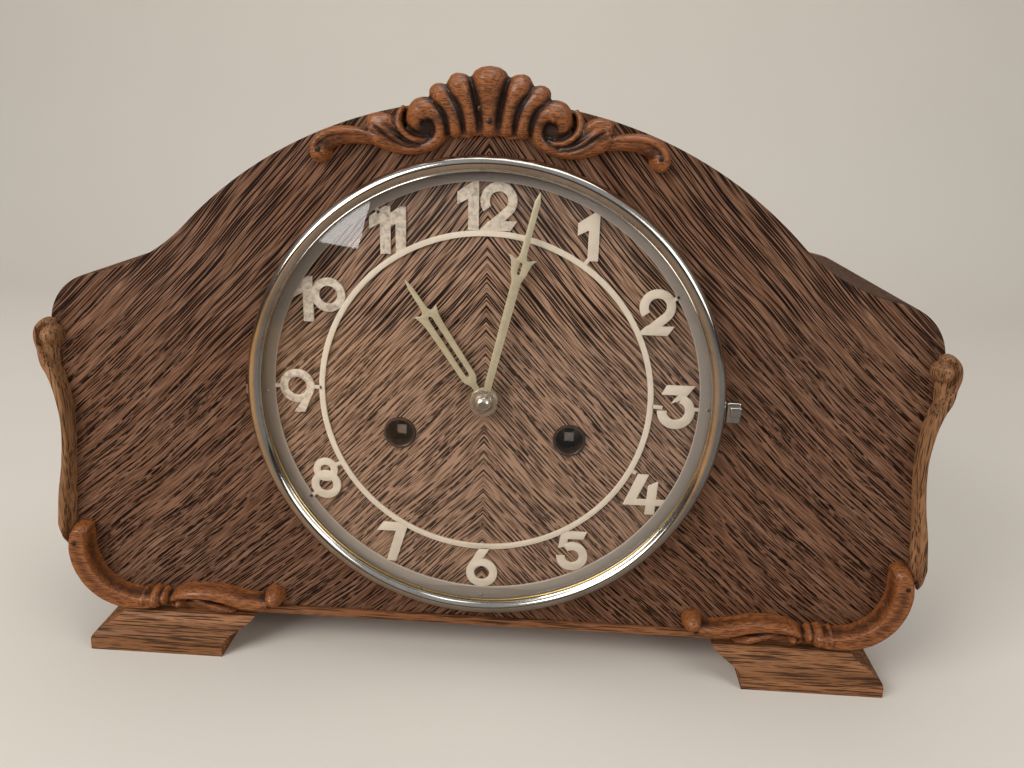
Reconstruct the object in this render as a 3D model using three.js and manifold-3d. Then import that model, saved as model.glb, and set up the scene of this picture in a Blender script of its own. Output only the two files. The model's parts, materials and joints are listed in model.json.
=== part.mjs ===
// Oak mantel clock with a pendulum movement, two winding arbors, a pierced chapter ring and carved ornaments.
// Millimetres. x runs to the right, y from the front to the back and z up from the table.
// While it is built, y is 0 on the front panel's face; the dial pieces count x and z from the dial centre.
import * as THREE from 'three';
import { mergeVertices } from 'three/addons/utils/BufferGeometryUtils.js';
import Module from 'manifold-3d';

const wasm = await Module();
wasm.setup();

// Case: the outline is a chain of arcs that run into each other.
const DIAL_HEIGHT = 128;
const FOOT_HEIGHT = 16;
const BOARD_THICKNESS = 4;
const BOARD_HALF_LENGTH = 168;
const BOARD_LIP = 1.5;
const ARCH_RADIUS = 179;
const ARCH_RISE = 121.8;
const SWEEP_RADIUS = 80;
const SHOULDER_RADIUS = 24;
const SHOULDER_RISE = 24;
const SHOULDER_HALF_WIDTH = 189;
const SIDE_RADIUS = 300;
const CORNER_RADIUS = 32;
const CORNER_HALF_WIDTH = 191;
const CASE_DEPTH = 130;
const PANEL_THICKNESS = 8;
const BAND_THICKNESS = 5;
const BACK_THICKNESS = 6;

// Feet: runners that flare forward and outward to an upright toe, so that both ends lean alike.
const FOOT_INNER_X = 119.5;
const FOOT_LEAN = 13;
const FOOT_WIDTH = 62.5;
const FOOT_PROUD = 15;
const FOOT_BACK_Y = 122;
const FOOT_TOP_PROUD = 5;
const FOOT_TOE = 8;

// Back door.
const DOOR_HALF_WIDTH = 95;
const DOOR_BOTTOM_Z = 32;
const DOOR_HEIGHT = 182;
const DOOR_GAP = 0.6;
const DOOR_CORNER = 24;
const HINGE_PLATE = 0.8;
const HINGE_LEAF = 9;
const HINGE_LENGTH = 120;
const HINGE_RISE = 20;
const HINGE_PIN_RADIUS = 0.8;
const HINGE_KNUCKLE_RADIUS = 1.7;
const HINGE_CLEARANCE = 0.15;
const KNOB_RADIUS = 6;
const KNOB_LENGTH = 11;
const KNOB_INSET = 14;

// Dial: an outer band and a thin ring, bridged by upright numerals.
const BAND_INNER_RADIUS = 91;
const BAND_OUTER_RADIUS = 98.5;
const RING_RADIUS = 70.5;
const RING_WIDTH = 2.4;
const DIAL_THICKNESS = 1;
const NUMERAL_RADIUS = 81.3;
const NUMERAL_HEIGHT = 19.3;
const TIE_WIDTH = 1.4;

// Bezel door.
const BEZEL_RADIUS = 101.5;
const BEZEL_INNER_RADIUS = 95.2;
const BEZEL_HEIGHT = 9.4;
const BEZEL_WALL = 1.2;
const BEZEL_LIP = 1;
const BEZEL_GAP = 0.3;
const GLASS_RADIUS = 97;
const GLASS_THICKNESS = 1.6;
const GLASS_RISE = 13;
const GLASS_EDGE_HEIGHT = 4.8;
const RETAINER_THICKNESS = 0.9;
const RETAINER_INNER_RADIUS = 95.4;
const TAB_LENGTH = 6;
const TAB_HEIGHT = 9.2;
const TAB_THICKNESS = 3.2;
const TAB_RISE = 2.6;
const BEZEL_PIN_RADIUS = 0.5;
const BEZEL_KNUCKLE_RADIUS = 1.1;
const BEZEL_KNUCKLE_LENGTH = 4;
const BEZEL_HINGE_HEIGHT = 1.6;
const TANG_THICKNESS = 1.2;

// Hands.
const MINUTE_ANGLE = 13.4;
const HOUR_ANGLE = -33.4;
const MINUTE_LENGTH = 90.3;
const HOUR_LENGTH = 60.6;
const HAND_THICKNESS = 0.7;
const MINUTE_HAND_HEIGHT = 5.8;
const HOUR_HAND_HEIGHT = 3.4;
const NUT_WASHER_RADIUS = 5.9;
const NUT_RADIUS = 3;
const NUT_HEIGHT = 4.6;

// Winding holes.
const WIND_X = 36.9;
const WIND_Z = -17.4;
const GROMMET_BORE = 5.8;
const GROMMET_WALL = 0.5;
const GROMMET_FLANGE_RADIUS = 7.15;
const GROMMET_FLANGE = 1.2;
const GROMMET_DEPTH = 6;
const SQUARE_SIDE = 4;
const SQUARE_TIP_Y = 4.5;

// Movement frame.
const PLATE_FRONT_Y = 18;
const PLATE_THICKNESS = 1.6;
const PLATE_SPACE = 32;
const PLATE_HALF_WIDTH = 69;
const PLATE_TOP = 60;
const PLATE_BOTTOM = -50;
const PLATE_CORNER = 8;
const PILLAR_RADIUS = 3;
const PILLAR_TENON_RADIUS = 2;
const PILLAR_INSET = 6;
const PILLAR_NUT = 2.4;
const PILLAR_NUT_RADIUS = 3.6;
const PIVOT_RADIUS = 0.8;
const PIVOT_CLEARANCE = 0.15;
const ARBOR_RADIUS = 1.4;
const SHAKE = 0.3;
const FIT = 0.08;

// Wheel work: tooth counts and modules of each meshing pair.
const MESH_SLACK = 0.1;
const BARREL = { wheel: 36, pinion: 6, module: 1.45 };
const SECOND = { wheel: 30, pinion: 6, module: 1.17 };
const CENTRE = { wheel: 72, pinion: 6, module: 0.5 };
const THIRD = { wheel: 66, pinion: 6, module: 0.45 };
const PIN = { wheel: 30, pinion: 6, module: 1.17 };
const WARNING = { wheel: 48, pinion: 6, module: 0.58 };
const MINUTE = { wheel: 24, pinion: 8, module: 1.125 };
const HOUR = { wheel: 24, pinion: 6, module: 1.2 };
const WHEEL_THICKNESS = 1.5;
const PINION_LENGTH = 4;
const ESCAPE_TEETH = 40;
const ESCAPE_RADIUS = 12;
const ESCAPE_TOOTH = 1.7;
const THIRD_ANGLE = 110;
const DRUM_RADIUS = 21;
const DRUM_LENGTH = 21;
const BARREL_WHEEL_Y = 21.4;
const SECOND_WHEEL_Y = 47.6;
const CENTRE_WHEEL_Y = 30;
const THIRD_WHEEL_Y = 25.6;
const ESCAPE_WHEEL_Y = 45;
const WARNING_WHEEL_Y = 34;
const FLY_Y = 38;
const FLY_SPAN = 11;
const FLY_WIDTH = 7;
const FLY_THICKNESS = 0.8;
const PIN_ANGLE = 105;
const WARNING_ANGLE = 40;
const FLY_ANGLE = 100;
const PIN_COUNT = 8;
const PIN_CIRCLE = 13.6;
const PIN_RADIUS = 0.8;
const PIN_LENGTH = 2.6;
const BARREL_ARBOR_RADIUS = 2.4;
const RATCHET_TEETH = 12;
const RATCHET_RADIUS = 9;
const RATCHET_TOOTH = 1.6;
const RATCHET_Y = 14.8;
const CLICK_LENGTH = 12;
const CLICK_WIDTH = 3.6;
const CLICK_STUD_RADIUS = 1.2;

// Motion work behind the dial.
const MINUTE_WHEEL_Y = 14.8;
const HOUR_WHEEL_Y = 10.8;
const CENTRE_ARBOR_RADIUS = 1.5;
const CANNON_RADIUS = 2.5;
const PIPE_RADIUS = 3.7;
const PANEL_BORE_RADIUS = 4.7;
const STUD_RADIUS = 1.5;

// Escapement and pendulum.
const ANCHOR_RISE = 16;
const ANCHOR_THICKNESS = 2.4;
const ANCHOR_WIDTH = 4;
const PALLET_GAP = 1.15;
const PALLET_DEPTH = 1.6;
const CRUTCH_WIDTH = 2;
const CRUTCH_THICKNESS = 1.2;
const CRUTCH_CLEARANCE = 2;
const CRUTCH_LENGTH = 30;
const PENDULUM_Y = 63;
const PENDULUM_LENGTH = 115;
const ROD_RADIUS = 1.2;
const BOB_RADIUS = 17;
const BOB_THICKNESS = 8;
const RATING_NUT_RADIUS = 4;
const RATING_NUT_HEIGHT = 4;
const ROD_TAIL = 3;
const SPRING_WIDTH = 5;
const SPRING_THICKNESS = 0.4;
const SPRING_ABOVE = 6;
const SPRING_BELOW = 5;
const POST_HALF_WIDTH = 5;
const POST_HEIGHT = 9;
const POST_SLOT = 2.2;
const POST_WALL = 3;
const CHUCK_HALF_WIDTH = 2;
const CHUCK_HEIGHT = 4;

// Strike.
const HAMMER_X = -64;
const HAMMER_Z = 2;
const HAMMER_REACH_X = -36;
const HAMMER_ARM_Y = 43;
const HAMMER_ARM = 2.2;
const HAMMER_HEAD_RADIUS = 4;
const HAMMER_HEAD_LENGTH = 18;
const TAIL_GAP = 1;
const HAMMER_REST_GAP = 0.9;
const GONG_RADIUS = 1.8;
const GONG_LENGTH = 215;
const GONG_HEIGHT = 21;
const GONG_FRONT_Y = 39;
const GONG_SPACING = 11;
const BLOCK_RIGHT_X = -126;
const BLOCK_SIZE = { x: 24, y: 34, z: 30 };

// Carvings and mouldings stand on the panel face.
const MOULDING_DEPTH = 7.5;
const VOLUTE_RADIUS = 6;
const VOLUTE_DROP = 3.5;
const CARVING_DEPTH = 8.5;
const CARVING_BEND = 30;
const SEAT_GAP = 0.3;
const CREST_DEPTH = 9;

// Heights and depths that follow from the sizes above.
const CASE_BOTTOM = FOOT_HEIGHT + BOARD_THICKNESS - DIAL_HEIGHT;
const BACK_Y = CASE_DEPTH - BACK_THICKNESS;
const PLATE_REAR_Y = PLATE_FRONT_Y + PLATE_THICKNESS + PLATE_SPACE;
const PLATE_INNER_Y = PLATE_FRONT_Y + PLATE_THICKNESS;
const FRAME_BACK_Y = PLATE_REAR_Y + PLATE_THICKNESS;
const GLASS_FRONT = GLASS_EDGE_HEIGHT + GLASS_THICKNESS + GLASS_RISE;
const ROUND = 12;
const SLIM = 8;
const THIN = 6;
const RIM_SIDES = 32;
const WELD = 0.05;
const TURN = Math.PI * 2;

// Small geometry tools
const radians = THREE.MathUtils.degToRad;
const point = (x, y) => new THREE.Vector2(x, y);
const polar = (centre, radius, angle) =>
  point(centre.x + radius * Math.cos(angle), centre.y + radius * Math.sin(angle));

function arcPoints(centre, radius, from, to, steps) {
  const list = [];
  for (let i = 0; i <= steps; i += 1) {
    list.push(polar(centre, radius, from + ((to - from) * i) / steps));
  }
  return list;
}

// Centre of the circle that lies at the two given distances from two points, on the left of the line a to b.
function meetingPoint(a, fromA, b, fromB) {
  const span = a.distanceTo(b);
  const along = (span * span + fromA * fromA - fromB * fromB) / (2 * span);
  const across = Math.sqrt(fromA * fromA - along * along);
  const direction = b.clone().sub(a).divideScalar(span);
  const offset = point(-direction.y, direction.x).multiplyScalar(across);
  return a.clone().addScaledVector(direction, along).add(offset);
}

const angleOf = (from, to) => Math.atan2(to.y - from.y, to.x - from.x);
const inTurn = (angle) => (angle + TURN) % TURN;

// A closed mesh with shared corners, no flat triangles and its faces pointing out.
function closed(source) {
  const bare = new THREE.BufferGeometry();
  bare.setAttribute('position', source.getAttribute('position').clone());
  if (source.index) bare.setIndex(source.index.clone());
  const merged = mergeVertices(bare, 1e-4);
  const corners = merged.getAttribute('position');
  const kept = [];
  let volume = 0;
  const [p, q, r] = [new THREE.Vector3(), new THREE.Vector3(), new THREE.Vector3()];
  for (let i = 0; i < merged.index.count; i += 3) {
    const [a, b, c] = [0, 1, 2].map((k) => merged.index.getX(i + k));
    if (a === b || b === c || c === a) continue;
    p.fromBufferAttribute(corners, a);
    q.fromBufferAttribute(corners, b);
    r.fromBufferAttribute(corners, c);
    volume += p.dot(q.cross(r));
    kept.push(a, b, c);
  }
  merged.setIndex(volume < 0 ? kept.reverse() : kept);
  return merged;
}

function solid(geometry) {
  const ready = closed(geometry);
  return new wasm.Manifold(new wasm.Mesh({
    numProp: 3,
    vertProperties: new Float32Array(ready.getAttribute('position').array),
    triVerts: new Uint32Array(ready.index.array),
  }));
}

function shapeOf(body) {
  const mesh = body.simplify(WELD).getMesh();
  const geometry = new THREE.BufferGeometry();
  geometry.setAttribute('position', new THREE.BufferAttribute(new Float32Array(mesh.vertProperties), 3));
  geometry.setIndex(new THREE.BufferAttribute(new Uint32Array(mesh.triVerts), 1));
  return geometry;
}

function joined(...pieces) {
  return shapeOf(pieces.map(solid).reduce((sum, next) => sum.add(next)));
}

function cut(piece, ...tools) {
  return shapeOf(tools.map(solid).reduce((rest, tool) => rest.subtract(tool), solid(piece)));
}

// A flat piece whose outline lies in x and z, from y = front to y = front + thickness.
function slab(outline, front, thickness, holes = []) {
  const shape = outline.isShape ? outline : new THREE.Shape(outline);
  shape.holes.push(...holes.map((hole) => new THREE.Path(hole)));
  const geometry = new THREE.ExtrudeGeometry(shape, { depth: thickness, bevelEnabled: false });
  return geometry.rotateX(Math.PI / 2).translate(0, front + thickness, 0);
}

const circle = (radius, centre = point(0, 0), sides = ROUND) =>
  arcPoints(centre, radius, Math.PI / 2, Math.PI / 2 + TURN * (1 - 1 / sides), sides - 1);

// A piece turned about the y axis: each pair is a radius and a y.
function turned(profile, sides = ROUND) {
  return new THREE.LatheGeometry(profile.map(([radius, y]) => point(radius, y)), sides);
}

const rod = (radius, front, length, sides = ROUND) =>
  turned([[0, front], [radius, front], [radius, front + length], [0, front + length]], sides);

const tube = (outer, inner, front, length, sides = ROUND) =>
  turned([
    [inner, front], [outer, front], [outer, front + length], [inner, front + length], [inner, front]], sides);

const box = (x0, x1, y0, y1, z0, z1) =>
  new THREE.BoxGeometry(x1 - x0, y1 - y0, z1 - z0).translate((x0 + x1) / 2, (y0 + y1) / 2, (z0 + z1) / 2);

const uprightRod = (radius, x, y, z0, z1, sides = ROUND) =>
  new THREE.CylinderGeometry(radius, radius, z1 - z0, sides)
    .rotateX(Math.PI / 2)
    .translate(x, y, (z0 + z1) / 2);

// A closed body through rings of equal point counts, with its two ends capped.
function loft(rings) {
  const size = rings[0].length;
  const corners = rings.flat().flatMap((p) => [p.x, p.y, p.z]);
  const index = [];
  for (let i = 0; i + 1 < rings.length; i += 1) {
    for (let k = 0; k < size; k += 1) {
      const [a, b] = [i * size + k, i * size + ((k + 1) % size)];
      index.push(a, b, b + size, a, b + size, a + size);
    }
  }
  const last = (rings.length - 1) * size;
  for (let k = 1; k + 1 < size; k += 1) {
    index.push(0, k + 1, k, last, last + k, last + k + 1);
  }
  const geometry = new THREE.BufferGeometry();
  geometry.setAttribute('position', new THREE.Float32BufferAttribute(corners, 3));
  geometry.setIndex(index);
  return geometry;
}

// A carved strip along a path on the panel face, rounded in front and flat behind.
// Each station is x, z, width and depth.
const STRIP_SECTION = [[-0.5, 0], [-0.42, 0.66], [0, 1], [0.42, 0.66], [0.5, 0]];

function strip(stations, steps) {
  const knots = stations.map(([x, z]) => new THREE.Vector3(x, 0, z));
  const path = new THREE.CatmullRomCurve3(knots, false, 'centripetal');
  const at = (t, k) => {
    const place = t * (stations.length - 1);
    const i = Math.min(Math.floor(place), stations.length - 2);
    return THREE.MathUtils.lerp(stations[i][k], stations[i + 1][k], place - i);
  };
  const rings = [];
  for (let i = 0; i <= steps; i += 1) {
    const t = i / steps;
    const centre = path.getPoint(t);
    const tangent = path.getTangent(t);
    const [width, depth] = [at(t, 2), at(t, 3)];
    rings.push(STRIP_SECTION.map(([across, out]) => new THREE.Vector3(
      centre.x - tangent.z * across * width, -out * depth, centre.z + tangent.x * across * width)));
  }
  return loft(rings);
}

// A round boss on the panel face, half a flattened ball with its flat side on the face.
const boss = (x, z, radius, depth, sides = ROUND) =>
  turned([[0, -depth], [radius * 0.7, -depth * 0.8], [radius, 0], [0, 0]], sides)
    .translate(x, 0, z);

const mirrored = (geometry) => closed(geometry.clone().scale(-1, 1, 1));

// Finishes
const finish = (color, roughness, metalness) =>
  new THREE.MeshStandardMaterial({ color, roughness, metalness });
const veneer = finish(0x5e4433, 0.6, 0);
const oak = finish(0x4a3a2e, 0.65, 0);
const carved = finish(0x7a4524, 0.45, 0);
const plywood = finish(0x8c6b48, 0.8, 0);
const chrome = finish(0xd8dadd, 0.12, 1);
const silvered = finish(0xc9c2b4, 0.5, 0.4);
const gilt = finish(0xcfc08a, 0.4, 0.6);
const brass = finish(0xb8933f, 0.35, 1);
const steel = finish(0x8d9298, 0.35, 1);
const darkSteel = finish(0x2b2826, 0.5, 0.7);
const iron = finish(0x3a3a3c, 0.7, 0.5);
const clear = finish(0xe8eef0, 0.05, 0);
clear.transparent = true;
clear.opacity = 0.25;

const clock = new THREE.Group();
const dial = new THREE.Group();
dial.position.z = DIAL_HEIGHT;
clock.add(dial);

function place(name, geometry, material, parent = dial) {
  const mesh = new THREE.Mesh(closed(geometry), material);
  mesh.name = name;
  parent.add(mesh);
  return mesh;
}

function placeTurned(name, geometry, material, centre, angle = 0, parent = dial) {
  const mesh = place(name, geometry, material, parent);
  mesh.position.set(centre.x, 0, centre.y);
  mesh.rotation.y = angle;
  return mesh;
}

// Case outline: arch, sweep, shoulder, side and corner, drawn in by an inset for the inner faces.
const archCentre = point(0, ARCH_RISE - ARCH_RADIUS);
const shoulderCentre = point(SHOULDER_HALF_WIDTH - SHOULDER_RADIUS, SHOULDER_RISE);
const cornerCentre = point(CORNER_HALF_WIDTH - CORNER_RADIUS, CASE_BOTTOM + CORNER_RADIUS);
const sweepCentre = meetingPoint(
  archCentre, ARCH_RADIUS + SWEEP_RADIUS, shoulderCentre, SHOULDER_RADIUS + SWEEP_RADIUS);
const sideCentre = meetingPoint(
  shoulderCentre, SHOULDER_RADIUS + SIDE_RADIUS, cornerCentre, CORNER_RADIUS + SIDE_RADIUS);

function rightEdge(inset) {
  const corner = arcPoints(
    cornerCentre, CORNER_RADIUS - inset, -Math.PI / 2, angleOf(cornerCentre, sideCentre), 5);
  const side = arcPoints(
    sideCentre, SIDE_RADIUS + inset,
    inTurn(angleOf(sideCentre, cornerCentre)), inTurn(angleOf(sideCentre, shoulderCentre)), 3);
  const shoulder = arcPoints(
    shoulderCentre, SHOULDER_RADIUS - inset,
    angleOf(shoulderCentre, sideCentre), angleOf(shoulderCentre, sweepCentre), 5);
  const sweep = arcPoints(
    sweepCentre, SWEEP_RADIUS + inset,
    angleOf(sweepCentre, shoulderCentre), angleOf(sweepCentre, archCentre), 4);
  const arch = arcPoints(archCentre, ARCH_RADIUS - inset, angleOf(archCentre, sweepCentre), Math.PI / 2, 8);
  return [...corner, ...side.slice(1), ...shoulder.slice(1), ...sweep.slice(1), ...arch.slice(1)];
}

function wholeEdge(inset) {
  const right = rightEdge(inset);
  const left = right.slice(0, -1).reverse().map((p) => point(-p.x, p.y));
  return [...right, ...left];
}

function buildCase() {
  const windHoles = [-1, 1].map((side) =>
    circle(GROMMET_BORE + GROMMET_WALL + FIT, point(side * WIND_X, WIND_Z)));
  const hingeX = -(BEZEL_RADIUS + BEZEL_KNUCKLE_RADIUS + BEZEL_GAP);
  const slotHalf = TANG_THICKNESS / 2 + FIT;
  const slotEnd = BEZEL_KNUCKLE_LENGTH / 2 + FIT;
  const tangSlot = [
    point(hingeX - slotHalf, -slotEnd), point(hingeX + slotHalf, -slotEnd),
    point(hingeX + slotHalf, slotEnd), point(hingeX - slotHalf, slotEnd)];
  const holes = [circle(PANEL_BORE_RADIUS), ...windHoles, tangSlot];
  place('front_panel', slab(wholeEdge(0), 0, PANEL_THICKNESS, holes), veneer);

  const inner = wholeEdge(BAND_THICKNESS).reverse();
  const bandLength = BACK_Y - PANEL_THICKNESS;
  place('case_band', slab([...wholeEdge(0), ...inner], PANEL_THICKNESS, bandLength), oak);

  const boardTop = CASE_BOTTOM;
  place('bottom_board', box(
    -BOARD_HALF_LENGTH, BOARD_HALF_LENGTH, -BOARD_LIP, CASE_DEPTH,
    boardTop - BOARD_THICKNESS, boardTop), oak);

  const doorHole = doorOutline(DOOR_GAP);
  place('back_panel', slab(wholeEdge(0), BACK_Y, BACK_THICKNESS, [doorHole]), plywood);
}

// The back door's outline, square below with round top corners, let out by a gap for its opening.
function doorOutline(gap) {
  const low = DOOR_BOTTOM_Z - DIAL_HEIGHT - gap;
  const half = DOOR_HALF_WIDTH + gap;
  const high = DOOR_BOTTOM_Z + DOOR_HEIGHT - DIAL_HEIGHT + gap;
  const round = DOOR_CORNER + gap;
  return [
    point(-half, low), point(half, low),
    ...arcPoints(point(half - round, high - round), round, 0, Math.PI / 2, 5),
    ...arcPoints(point(-half + round, high - round), round, Math.PI / 2, Math.PI, 5)];
}

function buildFeet() {
  const low = FOOT_TOE + (FOOT_HEIGHT - FOOT_TOE) * 0.35;
  const high = FOOT_TOE + (FOOT_HEIGHT - FOOT_TOE) * 0.5;
  const inner = FOOT_INNER_X;
  const outer = FOOT_INNER_X + FOOT_WIDTH;
  const end = new THREE.Shape();
  end.moveTo(outer, 0);
  end.lineTo(outer, FOOT_TOE);
  end.bezierCurveTo(outer, low, outer - FOOT_LEAN, high, outer - FOOT_LEAN, FOOT_HEIGHT);
  end.lineTo(inner - FOOT_LEAN, FOOT_HEIGHT);
  end.bezierCurveTo(inner - FOOT_LEAN, high, inner, low, inner, FOOT_TOE);
  end.lineTo(inner, 0);
  const ahead = new THREE.Shape();
  ahead.moveTo(-FOOT_PROUD, FOOT_TOE);
  ahead.bezierCurveTo(-FOOT_PROUD, low, -FOOT_TOP_PROUD, high, -FOOT_TOP_PROUD, FOOT_HEIGHT);
  ahead.lineTo(-FOOT_TOP_PROUD, FOOT_HEIGHT + 1);
  ahead.lineTo(-FOOT_PROUD - 1, FOOT_HEIGHT + 1);
  ahead.lineTo(-FOOT_PROUD - 1, FOOT_TOE);
  const waste = new THREE.ExtrudeGeometry(
    ahead, { depth: FOOT_WIDTH + FOOT_LEAN + 2, bevelEnabled: false, curveSegments: 5 });
  waste.rotateX(Math.PI / 2).rotateZ(Math.PI / 2).translate(inner - FOOT_LEAN - 1, 0, 0);
  const foot = cut(slab(end.getPoints(5), -FOOT_PROUD, FOOT_BACK_Y + FOOT_PROUD), waste);
  place('foot_right', foot, oak, clock);
  place('foot_left', mirrored(foot), oak, clock);
}

// The panel's right edge at a height, on the side arc or the corner below it.
function edgeAt(z) {
  const meets = polar(cornerCentre, CORNER_RADIUS, angleOf(cornerCentre, sideCentre)).y;
  return z > meets
    ? sideCentre.x - Math.sqrt(SIDE_RADIUS ** 2 - (z - sideCentre.y) ** 2)
    : cornerCentre.x + Math.sqrt(CORNER_RADIUS ** 2 - (z - cornerCentre.y) ** 2);
}

// Side mouldings: a strip along the panel's edge with a rolled upper end and a pointed lower one.
// Each station is a height below the shoulder, the overhang past the edge, a width and a depth.
function buildMouldings() {
  const station = (below, overhang, width, depth) =>
    [edgeAt(SHOULDER_RISE - below) + overhang, SHOULDER_RISE - below, width, depth];
  const strand = strip([
    station(4.5, 4.6, 6, 6.5),
    station(15.5, 3.6, 6.8, MOULDING_DEPTH),
    station(28.5, 0.7, 7.2, MOULDING_DEPTH),
    station(42.5, -0.8, 7.2, MOULDING_DEPTH),
    station(60.5, 0.3, 6.6, MOULDING_DEPTH),
    station(78.5, 2.4, 5.4, MOULDING_DEPTH),
    station(92.5, 4.2, 3.6, 6),
    station(105, 5, 1.4, 2.6)], 11);
  const roll = boss(SHOULDER_HALF_WIDTH, SHOULDER_RISE - VOLUTE_DROP, VOLUTE_RADIUS, MOULDING_DEPTH + 1.5);
  const moulding = joined(strand, roll);
  place('side_moulding_right', moulding, oak);
  place('side_moulding_left', mirrored(moulding), oak);
}

// Corner carvings: a C-scroll round the corner, a knuckle and a leaf that ends in a ball.
// Places count from the corner of the square that the panel's lower end fits in.
function buildCornerCarvings() {
  const middle = point(-34, 33);
  const scroll = [[-5.2, 39, 9, CARVING_DEPTH * 0.8]];
  for (const [angle, width] of [[0, 10], [-18, 11.4], [-37, 12.2], [-56, 12.2], [-76, 12]]) {
    const p = polar(middle, CARVING_BEND, radians(angle));
    scroll.push([p.x, p.y, width, CARVING_DEPTH]);
  }
  scroll.push([-40, 3.4, 9, CARVING_DEPTH * 0.9]);
  const leaf = [
    [-39, 3.6, 8.6, 7], [-48, 6.4, 8.6, 7.6], [-60, 8.6, 8.4, 8.2],
    [-72, 6.6, 7.4, 7.6], [-82, 5, 6.4, 6.8], [-93, 6.6, 7.4, 7.4]];
  const frond = [[-55, 6, 6, 6.4], [-65, 2.6, 6.4, 6.6], [-76.4, -2.2, 1.6, 4]];
  const carving = joined(
    strip(scroll, 8), boss(-37, 3.6, 6.4, CARVING_DEPTH + 1, SLIM), strip(leaf, 6), strip(frond, 3),
    boss(-48.4, 1.8, 3.4, 6, SLIM), boss(-94, 7, 5, CARVING_DEPTH, SLIM))
    .translate(CORNER_HALF_WIDTH, 0, CASE_BOTTOM);
  const lip = box(
    -BOARD_HALF_LENGTH - 1, BOARD_HALF_LENGTH + 1, -BOARD_LIP - SEAT_GAP, 1,
    CASE_BOTTOM - BOARD_THICKNESS - 1, CASE_BOTTOM + SEAT_GAP);
  const seated = cut(carving, lip);
  place('corner_carving_right', seated, carved);
  place('corner_carving_left', mirrored(seated), carved);
}

// Crest: five lobes like a shell, then on each side a volute, an acanthus leaf and a tail with a ball.
// Heights count from the top of the arch.
function buildCrest() {
  const lobe = (x0, z0, x1, z1, wide) => {
    const along = (t, width, depth) => [
      THREE.MathUtils.lerp(x0, x1, t * t), THREE.MathUtils.lerp(z0, z1, t), width, depth * CREST_DEPTH];
    return strip([
      along(0, wide * 0.55, 0.6), along(0.5, wide * 0.76, 0.95),
      along(0.84, wide, 1), along(1, wide * 0.42, 0.6)], 3);
  };
  const volute = [];
  for (let i = 0; i <= 5; i += 1) {
    const p = polar(point(26.5, -9.8), 9.4 - i * 0.4, radians(-40 - i * 52));
    volute.push([p.x, p.y, 8.6 - i * 0.4, CREST_DEPTH * 0.9]);
  }
  const leaf = [[31, -17.8, 9, 7.4], [39, -15.4, 10, 7], [45, -11.4, 8, 6.4], [48.4, -7.8, 3, 4.6]];
  const tail = [[40, -13.4, 6, 5], [50, -10.4, 6.4, 6.4], [58.6, -12.4, 7, 7], [66, -19.2, 8.4, 7.6]];
  const half = joined(
    lobe(6.6, -13.2, 12.2, 8.6, 10), lobe(12.8, -13.4, 21, 5.2, 9.6),
    strip(volute, 7), boss(26, -8.8, 5.6, CREST_DEPTH, SLIM), strip(leaf, 3), strip(tail, 4),
    boss(66.4, -20.2, 4.8, 8.4, SLIM));
  const crest = joined(half, mirrored(half), lobe(0, -13, 0, 12.6, 16.4));
  place('crest_carving', crest.translate(0, 0, ARCH_RISE), carved);
}

// Numerals, drawn upright with their lower left corner at 0, 0.
const arcBand = (centre, outer, inner, from, to, steps) => [
  ...arcPoints(centre, outer, radians(from), radians(to), steps),
  ...arcPoints(centre, inner, radians(to), radians(from), steps)];
const ringShape = (centre, outer, inner) =>
  ({ outline: circle(outer, centre, 10), hole: circle(inner, centre, 8) });
const outline = (...pairs) => ({ outline: pairs.map(([x, z]) => point(x, z)) });
const one = (x) => outline(
  [x, 10], [x, 15], [x + 6.4, 19.3], [x + 8.7, 19.3], [x + 8.7, 0], [x + 4.4, 0], [x + 4.4, 12.3]);

function two(x) {
  const bowl = point(x + 7.8, 11.9);
  const [inside, outside] = [3.7, 7.4].map((r) => polar(bowl, r, radians(-45)));
  return [
    { outline: arcBand(bowl, 7.4, 3.7, -45, 215, 7) },
    { outline: [point(x, 0), point(x + 6, 0), outside, inside] },
    outline([x, 0], [x + 12.6, 0], [x + 15.2, 3.9], [x + 3.9, 3.9])];
}

const NUMERALS = {
  1: { width: 8.7, parts: [one(0)] },
  2: { width: 15.6, parts: two(0) },
  3: {
    width: 15.9,
    parts: [
      { outline: arcBand(point(8, 7.9), 7.9, 3.9, -180, 72, 7) },
      outline([1.5, 15.2], [8.6, 15.2], [5.8, 11.4], [11, 13.4], [15.2, 19.3], [3.5, 19.3])],
  },
  4: {
    width: 17,
    parts: [
      outline([0, 4.3], [20.6, 4.3], [20.6, 7.1], [5.6, 7.1], [10.4, 18.8], [5.6, 18.8]),
      outline([9.7, 0], [13.9, 0], [14.6, 15.7], [10.4, 13.6])],
  },
  5: {
    width: 14.2,
    parts: [
      { outline: arcBand(point(7.1, 7), 7, 3.2, -180, 128, 8) },
      outline([0.8, 10.9], [4.8, 12.2], [5, 15.7], [11.9, 15.7], [13.3, 19.3], [2, 19.3])],
  },
  6: {
    width: 14.2,
    parts: [ringShape(point(7.1, 7.1), 7.1, 3.5), outline([0.8, 10.2], [5.6, 11], [10.8, 19.9], [6.2, 19.9])],
  },
  7: { width: 14.5, parts: [outline([0, 15.2], [8.6, 15.2], [4.2, 0], [8.6, 0], [14.5, 19.3], [3, 19.3])] },
  8: { width: 13.4, parts: [ringShape(point(6.7, 6.7), 6.7, 3.2), ringShape(point(6.7, 13.8), 5.5, 2.3)] },
  9: {
    width: 15,
    parts: [ringShape(point(7.5, 11.8), 7.5, 4.1), outline([5.6, 0], [10.4, 0], [14.4, 9], [9.6, 5.6])],
  },
  10: { width: 22, parts: [one(0), ringShape(point(15.2, 11.7), 7.2, 3.8)] },
  11: { width: 15.1, parts: [one(0), one(6.4)] },
  12: { width: 24.6, parts: [one(0), ...two(8.9)] },
};

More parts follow.
